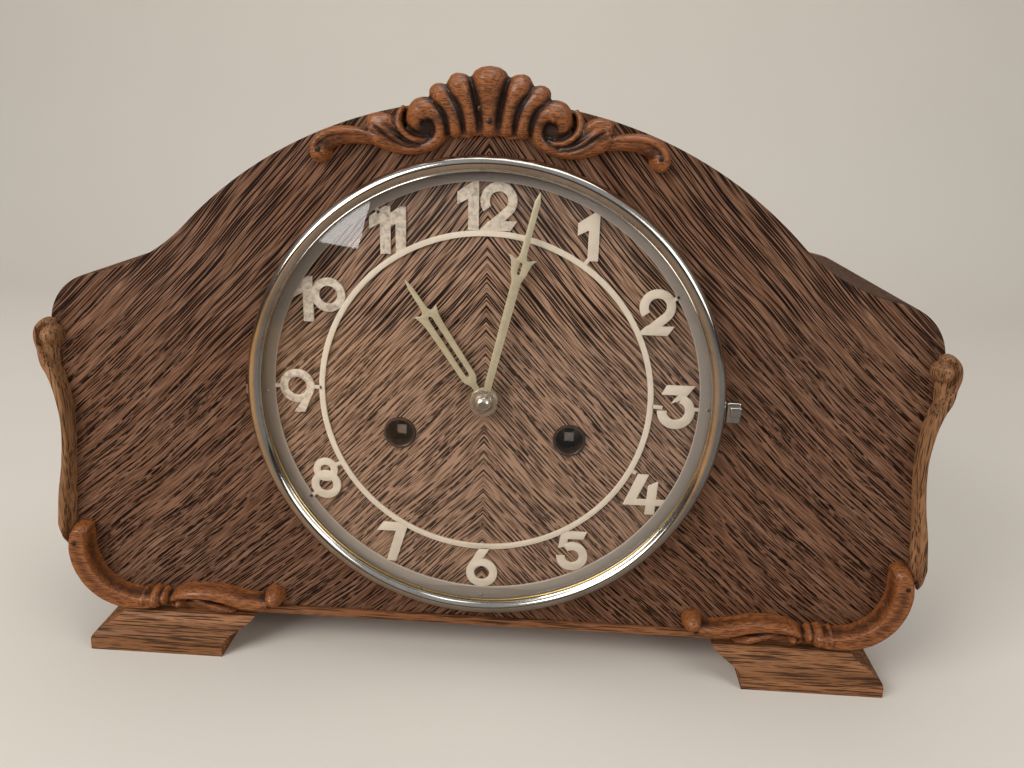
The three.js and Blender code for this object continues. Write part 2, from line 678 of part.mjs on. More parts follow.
// Short bars that tie a numeral to the rings, as dial x and z pairs.
const TIES = [
  [[-4.8, 88], [-4.8, 92]], [[4.4, 88], [4.4, 92]], [[41.6, 62], [39.6, 59]], [[76, 45.6], [79, 47.6]],
  [[71, 0], [75.6, -0.4]], [[88, -0.6], [92, -0.6]], [[66.6, -31], [63.6, -29.6]], [[0, -89], [0, -92]],
  [[-67, -34.6], [-62.6, -32.4]], [[-74, -47], [-78, -50]], [[-74.4, 2], [-70.4, 2]], [[-86.6, 2], [-92, 2]],
  [[-44, 77], [-46.6, 81]], [[46, 79], [47.6, 81.6]]];

function bar([[x0, z0], [x1, z1]]) {
  const side = point(z0 - z1, x1 - x0).setLength(TIE_WIDTH / 2);
  return [
    point(x0 + side.x, z0 + side.y), point(x0 - side.x, z0 - side.y),
    point(x1 - side.x, z1 - side.y), point(x1 + side.x, z1 + side.y)];
}

function buildChapterRing() {
  const plate = (edge, hole) => slab(edge, -DIAL_THICKNESS, DIAL_THICKNESS, hole ? [hole] : []);
  const ringOuter = RING_RADIUS + RING_WIDTH / 2;
  const ringInner = RING_RADIUS - RING_WIDTH / 2;
  const hoop = (radius) => circle(radius, point(0, 0), RIM_SIDES);
  const pieces = [
    plate(hoop(BAND_OUTER_RADIUS), hoop(BAND_INNER_RADIUS)), plate(hoop(ringOuter), hoop(ringInner))];
  for (const [hour, { width, parts }] of Object.entries(NUMERALS)) {
    const angle = radians(90 - hour * 30);
    const middle = polar(point(0, 0), NUMERAL_RADIUS, angle);
    for (const part of parts) {
      pieces.push(plate(part.outline, part.hole)
        .translate(middle.x - width / 2, 0, middle.y - NUMERAL_HEIGHT / 2));
    }
  }
  pieces.push(...TIES.map((tie) => plate(bar(tie))));
  const trim = slab(hoop(ringInner), -DIAL_THICKNESS * 2, DIAL_THICKNESS * 3);
  place('chapter_ring', cut(joined(...pieces), trim), silvered);
}

function buildGrommets() {
  const bush = turned([
    [GROMMET_BORE, -GROMMET_FLANGE], [GROMMET_FLANGE_RADIUS - 0.6, -GROMMET_FLANGE],
    [GROMMET_FLANGE_RADIUS, -0.5], [GROMMET_FLANGE_RADIUS, 0],
    [GROMMET_BORE + GROMMET_WALL, 0], [GROMMET_BORE + GROMMET_WALL, GROMMET_DEPTH],
    [GROMMET_BORE, GROMMET_DEPTH], [GROMMET_BORE, -GROMMET_FLANGE]]);
  for (const [name, side] of [['winding_grommet_left', -1], ['winding_grommet_right', 1]]) {
    placeTurned(name, bush, darkSteel, point(side * WIND_X, WIND_Z));
  }
}

// Bezel: a half-round rim with a lip over the glass; heights count forward from the panel face.
function buildBezel() {
  const wallInner = BEZEL_RADIUS - BEZEL_WALL;
  const glassTop = GLASS_EDGE_HEIGHT + GLASS_THICKNESS;
  const seat = glassTop + BEZEL_GAP * 3;
  const crown = (BEZEL_RADIUS + BEZEL_INNER_RADIUS) / 2;
  const rim = turned([
    [BEZEL_RADIUS, BEZEL_GAP], [BEZEL_RADIUS, BEZEL_HEIGHT * 0.6], [crown + 1, BEZEL_HEIGHT],
    [crown - 1, BEZEL_HEIGHT - 0.2], [BEZEL_INNER_RADIUS, seat + BEZEL_LIP],
    [BEZEL_INNER_RADIUS, seat], [wallInner, seat], [wallInner, BEZEL_GAP], [BEZEL_RADIUS, BEZEL_GAP],
  ].map(([r, h]) => [r, -h]), RIM_SIDES);
  const hingeX = -(BEZEL_RADIUS + BEZEL_KNUCKLE_RADIUS + BEZEL_GAP);
  const hingeY = -BEZEL_HINGE_HEIGHT;
  const bore = BEZEL_PIN_RADIUS + PIVOT_CLEARANCE;
  const reach = BEZEL_KNUCKLE_LENGTH * 1.5 + BEZEL_GAP;
  const knuckles = [-1, 1].map((side) => {
    const near = BEZEL_KNUCKLE_LENGTH / 2 + BEZEL_GAP;
    const [z0, z1] = side > 0 ? [near, reach] : [-reach, -near];
    return cut(
      joined(
        uprightRod(BEZEL_KNUCKLE_RADIUS, hingeX, hingeY, z0, z1, SLIM),
        box(hingeX, -wallInner, hingeY - 0.5, hingeY + 0.5, z0, z1)),
      uprightRod(bore, hingeX, hingeY, z0 - 1, z1 + 1, SLIM));
  });
  const shell = joined(rim, ...knuckles);
  place('bezel_ring', shell, chrome);

  const sphere = (edge, rise) => (edge * edge + rise * rise) / (2 * rise);
  const cap = (edge, low) => {
    const radius = sphere(edge, GLASS_RISE);
    return [0, 0.5, 1].map((t) => {
      const r = edge * t;
      return [r, -(low + GLASS_RISE - radius + Math.sqrt(radius * radius - r * r))];
    });
  };
  const outer = cap(GLASS_RADIUS, glassTop);
  const inside = cap(GLASS_RADIUS, GLASS_EDGE_HEIGHT).reverse();
  place('bezel_glass', turned([...outer, ...inside], RIM_SIDES), clear);

  place('glass_retainer', tube(
    wallInner - BEZEL_GAP, RETAINER_INNER_RADIUS, -GLASS_EDGE_HEIGHT + BEZEL_GAP,
    RETAINER_THICKNESS, RIM_SIDES), brass);

  const tabX = BEZEL_RADIUS + BEZEL_GAP;
  const tabEnd = tabX + TAB_LENGTH;
  const tabFront = -TAB_RISE - TAB_THICKNESS;
  place('bezel_tab', joined(
    box(tabX, tabEnd, tabFront, tabFront + TAB_THICKNESS, -TAB_HEIGHT / 2, TAB_HEIGHT / 2),
    box(tabX + 1.4, tabEnd, tabFront - 1, tabFront + 1, -TAB_HEIGHT * 0.16, TAB_HEIGHT * 0.3)),
  chrome);

  const half = BEZEL_KNUCKLE_LENGTH / 2;
  place('bezel_hinge_leaf', joined(
    uprightRod(BEZEL_KNUCKLE_RADIUS, hingeX, hingeY, -half, half, SLIM),
    uprightRod(BEZEL_PIN_RADIUS, hingeX, hingeY, -reach, reach, SLIM),
    box(hingeX - TANG_THICKNESS / 2, hingeX + TANG_THICKNESS / 2, hingeY, PANEL_THICKNESS, -half, half)),
  steel);
}

// Hands lie along +z and turn about the dial centre.
const mirrorOutline = (pairs) => [
  ...pairs.map(([half, r]) => point(half, r)),
  ...pairs.slice().reverse().map(([half, r]) => point(-half, r))];

function handBlade(pairs, slot, hub, bore, height) {
  const blade = slab(mirrorOutline(pairs), -height, HAND_THICKNESS);
  const disc = rod(hub, -height, HAND_THICKNESS);
  const window = slab(mirrorOutline(slot), -height - 1, HAND_THICKNESS + 2);
  return cut(joined(blade, disc), window, rod(bore, -height - 1, HAND_THICKNESS + 2));
}

function buildHands() {
  const long = MINUTE_LENGTH;
  const minute = handBlade([
    [1.5, 3], [1.9, 54], [3.4, 57.5], [4, 61], [5.9, 63.6],
    [2.6, 62.4], [1.3, 64.4], [1.2, long - 4.6], [0.05, long]],
  [[0.55, 56.4], [0.55, 61.6]], 5.2, CANNON_RADIUS + FIT, MINUTE_HAND_HEIGHT);
  placeTurned('minute_hand', minute, gilt, point(0, 0), radians(MINUTE_ANGLE));

  const short = HOUR_LENGTH;
  const hour = handBlade([
    [1.3, 4], [1.3, 8.6], [3.3, 11.4], [3.7, 38], [4.1, 42.6],
    [5.4, 45.4], [3, 44.4], [1.2, 46], [0.9, short - 3], [0.05, short]],
  [[0.9, 12.6], [0.9, 42.4]], 5.8, PIPE_RADIUS + FIT, HOUR_HAND_HEIGHT);
  placeTurned('hour_hand', hour, gilt, point(0, 0), radians(HOUR_ANGLE));

  const seat = MINUTE_HAND_HEIGHT + SHAKE;
  const bore = CENTRE_ARBOR_RADIUS + FIT;
  place('hand_nut', turned([
    [bore, -seat], [NUT_WASHER_RADIUS, -seat], [NUT_WASHER_RADIUS, -seat - 0.9],
    [NUT_RADIUS + 0.6, -seat - 1.5],
    [NUT_RADIUS, -seat - 2.6], [bore, -seat - NUT_HEIGHT], [bore, -seat]]), gilt);
}

// Wheels with pointed teeth.
const ADDENDUM = 0.6;
const DEDENDUM = 1.3;
const pitchRadius = (teeth, module) => (teeth * module) / 2;
const spacing = (pair) => ((pair.wheel + pair.pinion) * pair.module) / 2 + MESH_SLACK;

function toothed(teeth, module, phase) {
  const radius = pitchRadius(teeth, module);
  const pitch = TURN / teeth;
  const edge = [];
  for (let i = 0; i < teeth; i += 1) {
    const middle = phase + i * pitch;
    const tip = radius + ADDENDUM * module;
    const root = radius - DEDENDUM * module;
    edge.push(polar(point(0, 0), root, middle - pitch / 2), polar(point(0, 0), tip, middle));
  }
  return edge;
}

// Phase of a wheel that meshes with a first one, for the line of centres at the given angle.
function meshedPhase(angle, firstPhase, firstTeeth, teeth) {
  const lead = ((angle - firstPhase) * firstTeeth) / TURN;
  return angle + Math.PI - (TURN / teeth) * (0.5 - lead);
}

// An arbor between the plates with a thinner pivot at each end.
function arbor() {
  const [front, back] = [PLATE_INNER_Y, PLATE_REAR_Y];
  return turned([
    [0, front - PLATE_THICKNESS], [PIVOT_RADIUS, front - PLATE_THICKNESS], [PIVOT_RADIUS, front + SHAKE],
    [ARBOR_RADIUS, front + SHAKE], [ARBOR_RADIUS, back - SHAKE], [PIVOT_RADIUS, back - SHAKE],
    [PIVOT_RADIUS, back + PLATE_THICKNESS], [0, back + PLATE_THICKNESS]], THIN);
}

// A thin arbor runs straight through both plates.
const spindle = () => rod(PIVOT_RADIUS, PLATE_FRONT_Y, FRAME_BACK_Y - PLATE_FRONT_Y, THIN);

const wheelAt = (teeth, module, phase, front, thickness = WHEEL_THICKNESS) =>
  slab(toothed(teeth, module, phase), front, thickness);

// Where each arbor stands on the plates, and the phases that put the teeth in mesh.
const centreAt = point(0, 0);
const goingAt = point(WIND_X, WIND_Z);
const strikeAt = point(-WIND_X, WIND_Z);
const secondAt = meetingPoint(centreAt, spacing(SECOND), goingAt, spacing(BARREL));
const thirdAt = polar(centreAt, spacing(CENTRE), radians(THIRD_ANGLE));
const escapeRise = Math.sqrt(spacing(THIRD) ** 2 - thirdAt.x ** 2);
const escapeAt = point(0, thirdAt.y + escapeRise);
const anchorAt = point(0, escapeAt.y + ANCHOR_RISE);
const pinAt = polar(strikeAt, spacing(BARREL), radians(PIN_ANGLE));
const warningAt = polar(pinAt, spacing(PIN), radians(WARNING_ANGLE));
const flyAt = polar(warningAt, spacing(WARNING), radians(FLY_ANGLE));
const hammerAt = point(HAMMER_X, HAMMER_Z);
const minuteWheelAt = point(0, -spacing(MINUTE));

function buildPlates() {
  const side = PLATE_HALF_WIDTH - PLATE_CORNER;
  const [high, low] = [PLATE_TOP - PLATE_CORNER, PLATE_BOTTOM + PLATE_CORNER];
  const quarter = (x, z, start) =>
    arcPoints(point(x, z), PLATE_CORNER, radians(start), radians(start + 90), 2);
  const edge = [
    ...quarter(side, low, -90), ...quarter(side, high, 0),
    ...quarter(-side, high, 90), ...quarter(-side, low, 180)];
  const pivots = [secondAt, thirdAt, escapeAt, pinAt, warningAt, flyAt, hammerAt];
  const small = pivots.map((p) => circle(PIVOT_RADIUS + PIVOT_CLEARANCE, p, THIN));
  const large = [goingAt, strikeAt].map((p) => circle(BARREL_ARBOR_RADIUS + PIVOT_CLEARANCE, p));
  const tenons = pillarPlaces().map((p) => circle(PILLAR_TENON_RADIUS + FIT, p, THIN));
  const centreHole = circle(CENTRE_ARBOR_RADIUS + PIVOT_CLEARANCE, centreAt);
  const anchorFront = circle(PIVOT_RADIUS + PIVOT_CLEARANCE, anchorAt, THIN);
  const anchorBack = circle(ARBOR_RADIUS + PIVOT_CLEARANCE * 2, anchorAt, SLIM);

  const stud = rod(STUD_RADIUS, HOUR_WHEEL_Y - 1, PLATE_FRONT_Y - HOUR_WHEEL_Y + 2, SLIM)
    .translate(minuteWheelAt.x, 0, minuteWheelAt.y);
  const clickStuds = clickPlaces().map((p) =>
    rod(CLICK_STUD_RADIUS, RATCHET_Y - 0.6, PLATE_FRONT_Y - RATCHET_Y + 1.6, SLIM).translate(p.x, 0, p.y));
  const frontHoles = [...small, ...large, centreHole, anchorFront];
  const backHoles = [...small, ...large, ...tenons, centreHole, anchorBack];
  const front = slab(edge.slice(), PLATE_FRONT_Y, PLATE_THICKNESS, frontHoles);
  const pillars = pillarPlaces().map((p) => turned([
    [0, PANEL_THICKNESS], [PILLAR_RADIUS, PANEL_THICKNESS], [PILLAR_RADIUS, PLATE_REAR_Y - SHAKE],
    [PILLAR_TENON_RADIUS, PLATE_REAR_Y - SHAKE], [PILLAR_TENON_RADIUS, FRAME_BACK_Y + PILLAR_NUT],
    [0, FRAME_BACK_Y + PILLAR_NUT]], THIN).translate(p.x, 0, p.y));
  place('front_plate', joined(front, stud, ...clickStuds, ...pillars), brass);
  place('back_plate', slab(edge, PLATE_REAR_Y, PLATE_THICKNESS, backHoles), brass);
  const nut = cut(
    rod(PILLAR_NUT_RADIUS, FRAME_BACK_Y, PILLAR_NUT, THIN),
    rod(PILLAR_TENON_RADIUS + FIT, FRAME_BACK_Y - 1, PILLAR_NUT + 2, THIN));
  const [upperRight, upperLeft, lowerLeft, lowerRight] = pillarPlaces();
  placeTurned('pillar_nut_upper_right', nut, brass, upperRight);
  placeTurned('pillar_nut_upper_left', nut, brass, upperLeft);
  placeTurned('pillar_nut_lower_left', nut, brass, lowerLeft);
  placeTurned('pillar_nut_lower_right', nut, brass, lowerRight);
}

function pillarPlaces() {
  const x = PLATE_HALF_WIDTH - PILLAR_INSET;
  const [high, low] = [PLATE_TOP - PILLAR_INSET, PLATE_BOTTOM + PILLAR_INSET];
  return [point(x, high), point(-x, high), point(-x, low), point(x, low)];
}

// The clicks stand outside the ratchets, the right one above its wheel's middle and the left one below.
function clickPlaces() {
  const side = RATCHET_RADIUS + CLICK_WIDTH / 2 + SHAKE;
  const rise = CLICK_LENGTH * 0.7;
  return [point(WIND_X + side, WIND_Z + rise), point(-WIND_X - side, WIND_Z - rise)];
}

// A barrel: toothed wheel, drum and a bore for its winding arbor.
function barrelBody(phase) {
  const drumFront = BARREL_WHEEL_Y + WHEEL_THICKNESS;
  const whole = joined(
    wheelAt(BARREL.wheel, BARREL.module, phase, BARREL_WHEEL_Y),
    rod(DRUM_RADIUS, drumFront - 0.1, DRUM_LENGTH + 0.1, 20));
  return cut(whole, rod(BARREL_ARBOR_RADIUS + PIVOT_CLEARANCE, PLATE_INNER_Y - 1, PLATE_SPACE + 2));
}

// A winding arbor: square tip in the dial hole, ratchet wheel before the plate, round through the barrel.
function windingArbor() {
  const half = SQUARE_SIDE / 2;
  const teeth = [];
  for (let i = 0; i < RATCHET_TEETH; i += 1) {
    const start = (i * TURN) / RATCHET_TEETH;
    teeth.push(polar(centreAt, RATCHET_RADIUS, start), polar(centreAt, RATCHET_RADIUS - RATCHET_TOOTH, start));
  }
  return joined(
    box(-half, half, SQUARE_TIP_Y, RATCHET_Y, -half, half),
    rod(BARREL_ARBOR_RADIUS, PANEL_THICKNESS + 2, FRAME_BACK_Y - PANEL_THICKNESS - 2 + SHAKE, SLIM),
    slab(teeth, RATCHET_Y, WHEEL_THICKNESS));
}

// A click: a pawl on its stud whose nose lies just outside the ratchet's points.
function clickPawl() {
  const [w, l] = [CLICK_WIDTH / 2, CLICK_LENGTH];
  const pawl = [
    ...arcPoints(point(0, 0), w, 0, Math.PI, 4),
    point(-w, -l * 0.6), point(-w + 0.4, -l), point(w * 0.2, -l * 0.8)];
  const bore = rod(CLICK_STUD_RADIUS + PIVOT_CLEARANCE, RATCHET_Y - 1, WHEEL_THICKNESS + 2, SLIM);
  return cut(slab(pawl, RATCHET_Y, WHEEL_THICKNESS), bore);
}

function buildGoingTrain() {
  const toSecond = angleOf(goingAt, secondAt);
  const secondPinion = meshedPhase(toSecond, 0, BARREL.wheel, BARREL.pinion);
  placeTurned('going_barrel', barrelBody(0), brass, goingAt);
  placeTurned('winding_arbor_right', windingArbor(), steel, goingAt);
  placeTurned('click_right', clickPawl(), steel, clickPlaces()[0]);

  placeTurned('second_wheel', joined(
    arbor(), wheelAt(BARREL.pinion, BARREL.module, secondPinion, BARREL_WHEEL_Y - 0.6, PINION_LENGTH - 1),
    wheelAt(SECOND.wheel, SECOND.module, 0, SECOND_WHEEL_Y)), brass, secondAt);

  const toCentre = angleOf(secondAt, centreAt);
  const centrePinion = meshedPhase(toCentre, 0, SECOND.wheel, SECOND.pinion);
  const shaft = rod(CENTRE_ARBOR_RADIUS, -MINUTE_HAND_HEIGHT - SHAKE - NUT_HEIGHT + 0.6,
    FRAME_BACK_Y + MINUTE_HAND_HEIGHT + NUT_HEIGHT);
  place('centre_arbor', joined(
    shaft, wheelAt(SECOND.pinion, SECOND.module, centrePinion, SECOND_WHEEL_Y - 1, PINION_LENGTH - 0.4)),
  steel);
  const collar = rod(CENTRE_ARBOR_RADIUS + 1.6, CENTRE_WHEEL_Y - 2, WHEEL_THICKNESS + 2);
  place('centre_wheel', cut(
    joined(wheelAt(CENTRE.wheel, CENTRE.module, 0, CENTRE_WHEEL_Y), collar),
    rod(CENTRE_ARBOR_RADIUS + FIT, PLATE_INNER_Y, PLATE_SPACE)), brass);

  const thirdPinion = meshedPhase(angleOf(centreAt, thirdAt), 0, CENTRE.wheel, CENTRE.pinion);
  placeTurned('third_wheel', joined(
    spindle(), wheelAt(CENTRE.pinion, CENTRE.module, thirdPinion, CENTRE_WHEEL_Y - 1, PINION_LENGTH),
    wheelAt(THIRD.wheel, THIRD.module, 0, THIRD_WHEEL_Y)), brass, thirdAt);

  const escapePinion = meshedPhase(angleOf(thirdAt, escapeAt), 0, THIRD.wheel, THIRD.pinion);
  const points = [];
  for (let i = 0; i < ESCAPE_TEETH; i += 1) {
    const start = (i * TURN) / ESCAPE_TEETH;
    points.push(polar(centreAt, ESCAPE_RADIUS - ESCAPE_TOOTH, start));
    points.push(polar(centreAt, ESCAPE_RADIUS, start + TURN / ESCAPE_TEETH / 4));
  }
  placeTurned('escape_wheel', joined(
    spindle(), wheelAt(THIRD.pinion, THIRD.module, escapePinion, THIRD_WHEEL_Y - 1, PINION_LENGTH),
    slab(points, ESCAPE_WHEEL_Y, WHEEL_THICKNESS)), brass, escapeAt);
}

function buildStrikeTrain() {
  placeTurned('strike_barrel', barrelBody(0), brass, strikeAt);
  placeTurned('winding_arbor_left', windingArbor(), steel, strikeAt);
  placeTurned('click_left', clickPawl(), steel, clickPlaces()[1], Math.PI);

  const pinPinion = meshedPhase(angleOf(strikeAt, pinAt), 0, BARREL.wheel, BARREL.pinion);
  const pins = [];
  for (let i = 0; i < PIN_COUNT; i += 1) {
    const p = polar(centreAt, PIN_CIRCLE, ((i + 0.5) * TURN) / PIN_COUNT);
    const pin = rod(PIN_RADIUS, SECOND_WHEEL_Y - PIN_LENGTH, PIN_LENGTH + WHEEL_THICKNESS / 2, 4);
    pins.push(pin.translate(p.x, 0, p.y));
  }
  placeTurned('pin_wheel', joined(
    arbor(), wheelAt(BARREL.pinion, BARREL.module, pinPinion, BARREL_WHEEL_Y - 0.6, PINION_LENGTH - 1),
    wheelAt(PIN.wheel, PIN.module, 0, SECOND_WHEEL_Y), ...pins), brass, pinAt);

  const warningPinion = meshedPhase(angleOf(pinAt, warningAt), 0, PIN.wheel, PIN.pinion);
  placeTurned('warning_wheel', joined(
    spindle(), wheelAt(PIN.pinion, PIN.module, warningPinion, SECOND_WHEEL_Y - 1, PINION_LENGTH - 0.6),
    wheelAt(WARNING.wheel, WARNING.module, 0, WARNING_WHEEL_Y)), brass, warningAt);

  const flyPinion = meshedPhase(angleOf(warningAt, flyAt), 0, WARNING.wheel, WARNING.pinion);
  placeTurned('fly', joined(
    spindle(), wheelAt(WARNING.pinion, WARNING.module, flyPinion, WARNING_WHEEL_Y - 1, PINION_LENGTH - 0.6),
    box(-FLY_SPAN, FLY_SPAN, FLY_Y, FLY_Y + FLY_WIDTH, -FLY_THICKNESS / 2, FLY_THICKNESS / 2)), brass, flyAt);
}

// Motion work: cannon pinion on the centre arbor, minute wheel on its stud, hour wheel on its pipe.
function buildMotionWork() {
  const cannonFront = -MINUTE_HAND_HEIGHT;
  const cannonBack = PLATE_FRONT_Y - SHAKE;
  place('cannon_pinion', cut(
    joined(
      rod(CANNON_RADIUS, cannonFront, cannonBack - cannonFront),
      wheelAt(MINUTE.pinion, MINUTE.module, -Math.PI / 2, MINUTE_WHEEL_Y - 0.6, WHEEL_THICKNESS + 1)),
    rod(CENTRE_ARBOR_RADIUS + FIT, cannonFront - 1, cannonBack - cannonFront + 2)), steel);

  const wheelPhase = meshedPhase(-Math.PI / 2, -Math.PI / 2, MINUTE.pinion, MINUTE.wheel);
  placeTurned('minute_wheel', cut(
    joined(
      wheelAt(MINUTE.wheel, MINUTE.module, wheelPhase, MINUTE_WHEEL_Y),
      wheelAt(HOUR.pinion, HOUR.module, Math.PI / 2, HOUR_WHEEL_Y - 0.6, MINUTE_WHEEL_Y - HOUR_WHEEL_Y + 1)),
    rod(STUD_RADIUS + PIVOT_CLEARANCE, HOUR_WHEEL_Y - 2, PLATE_SPACE)), brass, minuteWheelAt);

  const hourPhase = meshedPhase(Math.PI / 2, Math.PI / 2, HOUR.pinion, HOUR.wheel);
  const pipeFront = -HOUR_HAND_HEIGHT;
  const pipeBack = HOUR_WHEEL_Y + WHEEL_THICKNESS;
  place('hour_wheel', cut(
    joined(
      wheelAt(HOUR.wheel, HOUR.module, hourPhase, HOUR_WHEEL_Y),
      rod(PIPE_RADIUS, pipeFront, pipeBack - pipeFront)),
    rod(CANNON_RADIUS + PIVOT_CLEARANCE, pipeFront - 1, pipeBack - pipeFront + 2)), brass);
}

// Anchor over the escape wheel, with its arbor through the back plate and the crutch round the pendulum rod.
function buildAnchor() {
  const inner = ESCAPE_RADIUS + PALLET_GAP;
  const outer = inner + ANCHOR_WIDTH;
  const low = point(0, -ANCHOR_RISE);
  const front = ESCAPE_WHEEL_Y + (WHEEL_THICKNESS - ANCHOR_THICKNESS) / 2;
  const flat = (edge) => slab(edge, front, ANCHOR_THICKNESS);
  const arch = flat(arcBand(low, outer, inner + PALLET_DEPTH, 32, 148, 7));
  const pallets = [32, 148].map((angle) => flat(arcBand(low, outer, inner, angle - 5, angle + 5, 1)));
  const hub = flat(circle(ARBOR_RADIUS + 1.8, point(0, 0), SLIM));
  const arborEnd = PENDULUM_Y - SPRING_WIDTH / 2 - CRUTCH_CLEARANCE;
  const shaft = turned([
    [0, PLATE_FRONT_Y], [PIVOT_RADIUS, PLATE_FRONT_Y], [PIVOT_RADIUS, PLATE_INNER_Y + SHAKE],
    [ARBOR_RADIUS, PLATE_INNER_Y + SHAKE], [ARBOR_RADIUS, arborEnd], [0, arborEnd]], THIN);

  const crutchFront = arborEnd - CRUTCH_THICKNESS;
  const half = CRUTCH_WIDTH / 2;
  const foot = -CRUTCH_LENGTH;
  const grip = ROD_RADIUS + PIVOT_CLEARANCE;
  const stem = box(-half, half, crutchFront, arborEnd, foot, ARBOR_RADIUS);
  const yoke = box(-grip - CRUTCH_THICKNESS, grip + CRUTCH_THICKNESS, crutchFront, arborEnd, foot, foot + half);
  const prongs = [-grip - CRUTCH_THICKNESS, grip].map((x) =>
    box(x, x + CRUTCH_THICKNESS, crutchFront, PENDULUM_Y + ROD_RADIUS + 1, foot, foot + half));
  placeTurned('anchor', joined(shaft, arch, ...pallets, hub, stem, yoke, ...prongs), steel, anchorAt);
}

// Pendulum: suspension strip held in a slotted post, rod, lens-shaped bob and rating nut.
function buildPendulum() {
  const hang = anchorAt.y;
  const stripHalf = SPRING_WIDTH / 2;
  const postLow = hang + 2;
  const post = box(
    -POST_HALF_WIDTH, POST_HALF_WIDTH, FRAME_BACK_Y, PENDULUM_Y + stripHalf + POST_WALL,
    postLow, postLow + POST_HEIGHT);
  const slot = box(
    -POST_SLOT / 2, POST_SLOT / 2, PENDULUM_Y - stripHalf - SHAKE * 2, PENDULUM_Y + stripHalf + SHAKE * 2,
    postLow - 1, hang + SPRING_ABOVE + SHAKE * 2);
  place('suspension_post', cut(post, slot), brass);

  place('suspension_spring', box(
    -SPRING_THICKNESS / 2, SPRING_THICKNESS / 2, PENDULUM_Y - stripHalf, PENDULUM_Y + stripHalf,
    hang - SPRING_BELOW + FIT, hang + SPRING_ABOVE), steel);

  const bobAt = hang - PENDULUM_LENGTH;
  const nutTop = bobAt - BOB_RADIUS - SHAKE;
  const rodEnd = nutTop - RATING_NUT_HEIGHT - ROD_TAIL;
  const chuckTop = hang - SPRING_BELOW;
  const chuck = box(
    -CHUCK_HALF_WIDTH, CHUCK_HALF_WIDTH, PENDULUM_Y - stripHalf, PENDULUM_Y + stripHalf,
    chuckTop - CHUCK_HEIGHT, chuckTop);
  const stem = uprightRod(ROD_RADIUS, 0, PENDULUM_Y, rodEnd, chuckTop - CHUCK_HEIGHT / 2, SLIM);
  place('pendulum_rod', joined(chuck, stem), steel);

  const half = BOB_THICKNESS / 2;
  const lens = turned([
    [0, -half], [BOB_RADIUS * 0.6, -half * 0.72], [BOB_RADIUS, -0.6],
    [BOB_RADIUS, 0.6], [BOB_RADIUS * 0.6, half * 0.72], [0, half]], 18).translate(0, PENDULUM_Y, bobAt);
  const bore = uprightRod(ROD_RADIUS + FIT, 0, PENDULUM_Y, rodEnd - 2, hang, SLIM);
  place('pendulum_bob', cut(lens, bore), brass);
  const nut = uprightRod(RATING_NUT_RADIUS, 0, PENDULUM_Y, nutTop - RATING_NUT_HEIGHT, nutTop, 10);
  place('rating_nut', cut(nut, bore), brass);
}

// Strike: two gong rods in an iron block on the bottom board, and a hammer hinged in the plates.
function buildStrike() {
  const floor = CASE_BOTTOM;
  const gongZ = floor + GONG_HEIGHT;
  const blockLeft = BLOCK_RIGHT_X - BLOCK_SIZE.x;
  const blockFront = GONG_FRONT_Y + GONG_SPACING / 2 - BLOCK_SIZE.y / 2;
  place('gong_block', box(
    blockLeft, BLOCK_RIGHT_X, blockFront, blockFront + BLOCK_SIZE.y, floor, floor + BLOCK_SIZE.z), iron);
  ['gong_rod_front', 'gong_rod_back'].forEach((name, i) => {
    const y = GONG_FRONT_Y + i * GONG_SPACING;
    const bar = new THREE.CylinderGeometry(GONG_RADIUS, GONG_RADIUS, GONG_LENGTH - i * 18, 10)
      .rotateZ(Math.PI / 2).translate(BLOCK_RIGHT_X + (GONG_LENGTH - i * 18) / 2, y, gongZ);
    place(name, bar, steel);
  });

  const headX = HAMMER_REACH_X;
  const headZ = gongZ + GONG_RADIUS + HAMMER_REST_GAP + HAMMER_HEAD_RADIUS - HAMMER_Z;
  const along = point(headX, headZ);
  const side = point(-along.y, along.x).setLength(HAMMER_ARM / 2);
  const arm = slab([
    side.clone(), side.clone().negate(), along.clone().sub(side), along.clone().add(side)],
  HAMMER_ARM_Y, HAMMER_ARM);
  const headFront = GONG_FRONT_Y + GONG_SPACING / 2 - HAMMER_HEAD_LENGTH / 2;
  const toPins = angleOf(hammerAt, pinAt);
  const tailLength = hammerAt.distanceTo(pinAt) - PIN_CIRCLE - PIN_RADIUS - TAIL_GAP;
  const tail = slab([
    polar(centreAt, HAMMER_ARM / 2, toPins - Math.PI / 2), polar(centreAt, tailLength, toPins - 0.12),
    polar(centreAt, tailLength, toPins + 0.12), polar(centreAt, HAMMER_ARM / 2, toPins + Math.PI / 2)],
  HAMMER_ARM_Y, HAMMER_ARM);
  placeTurned('hammer', joined(
    arbor(), arm, tail, rod(HAMMER_HEAD_RADIUS, headFront, HAMMER_HEAD_LENGTH).translate(headX, 0, headZ)),
  steel, hammerAt);
}

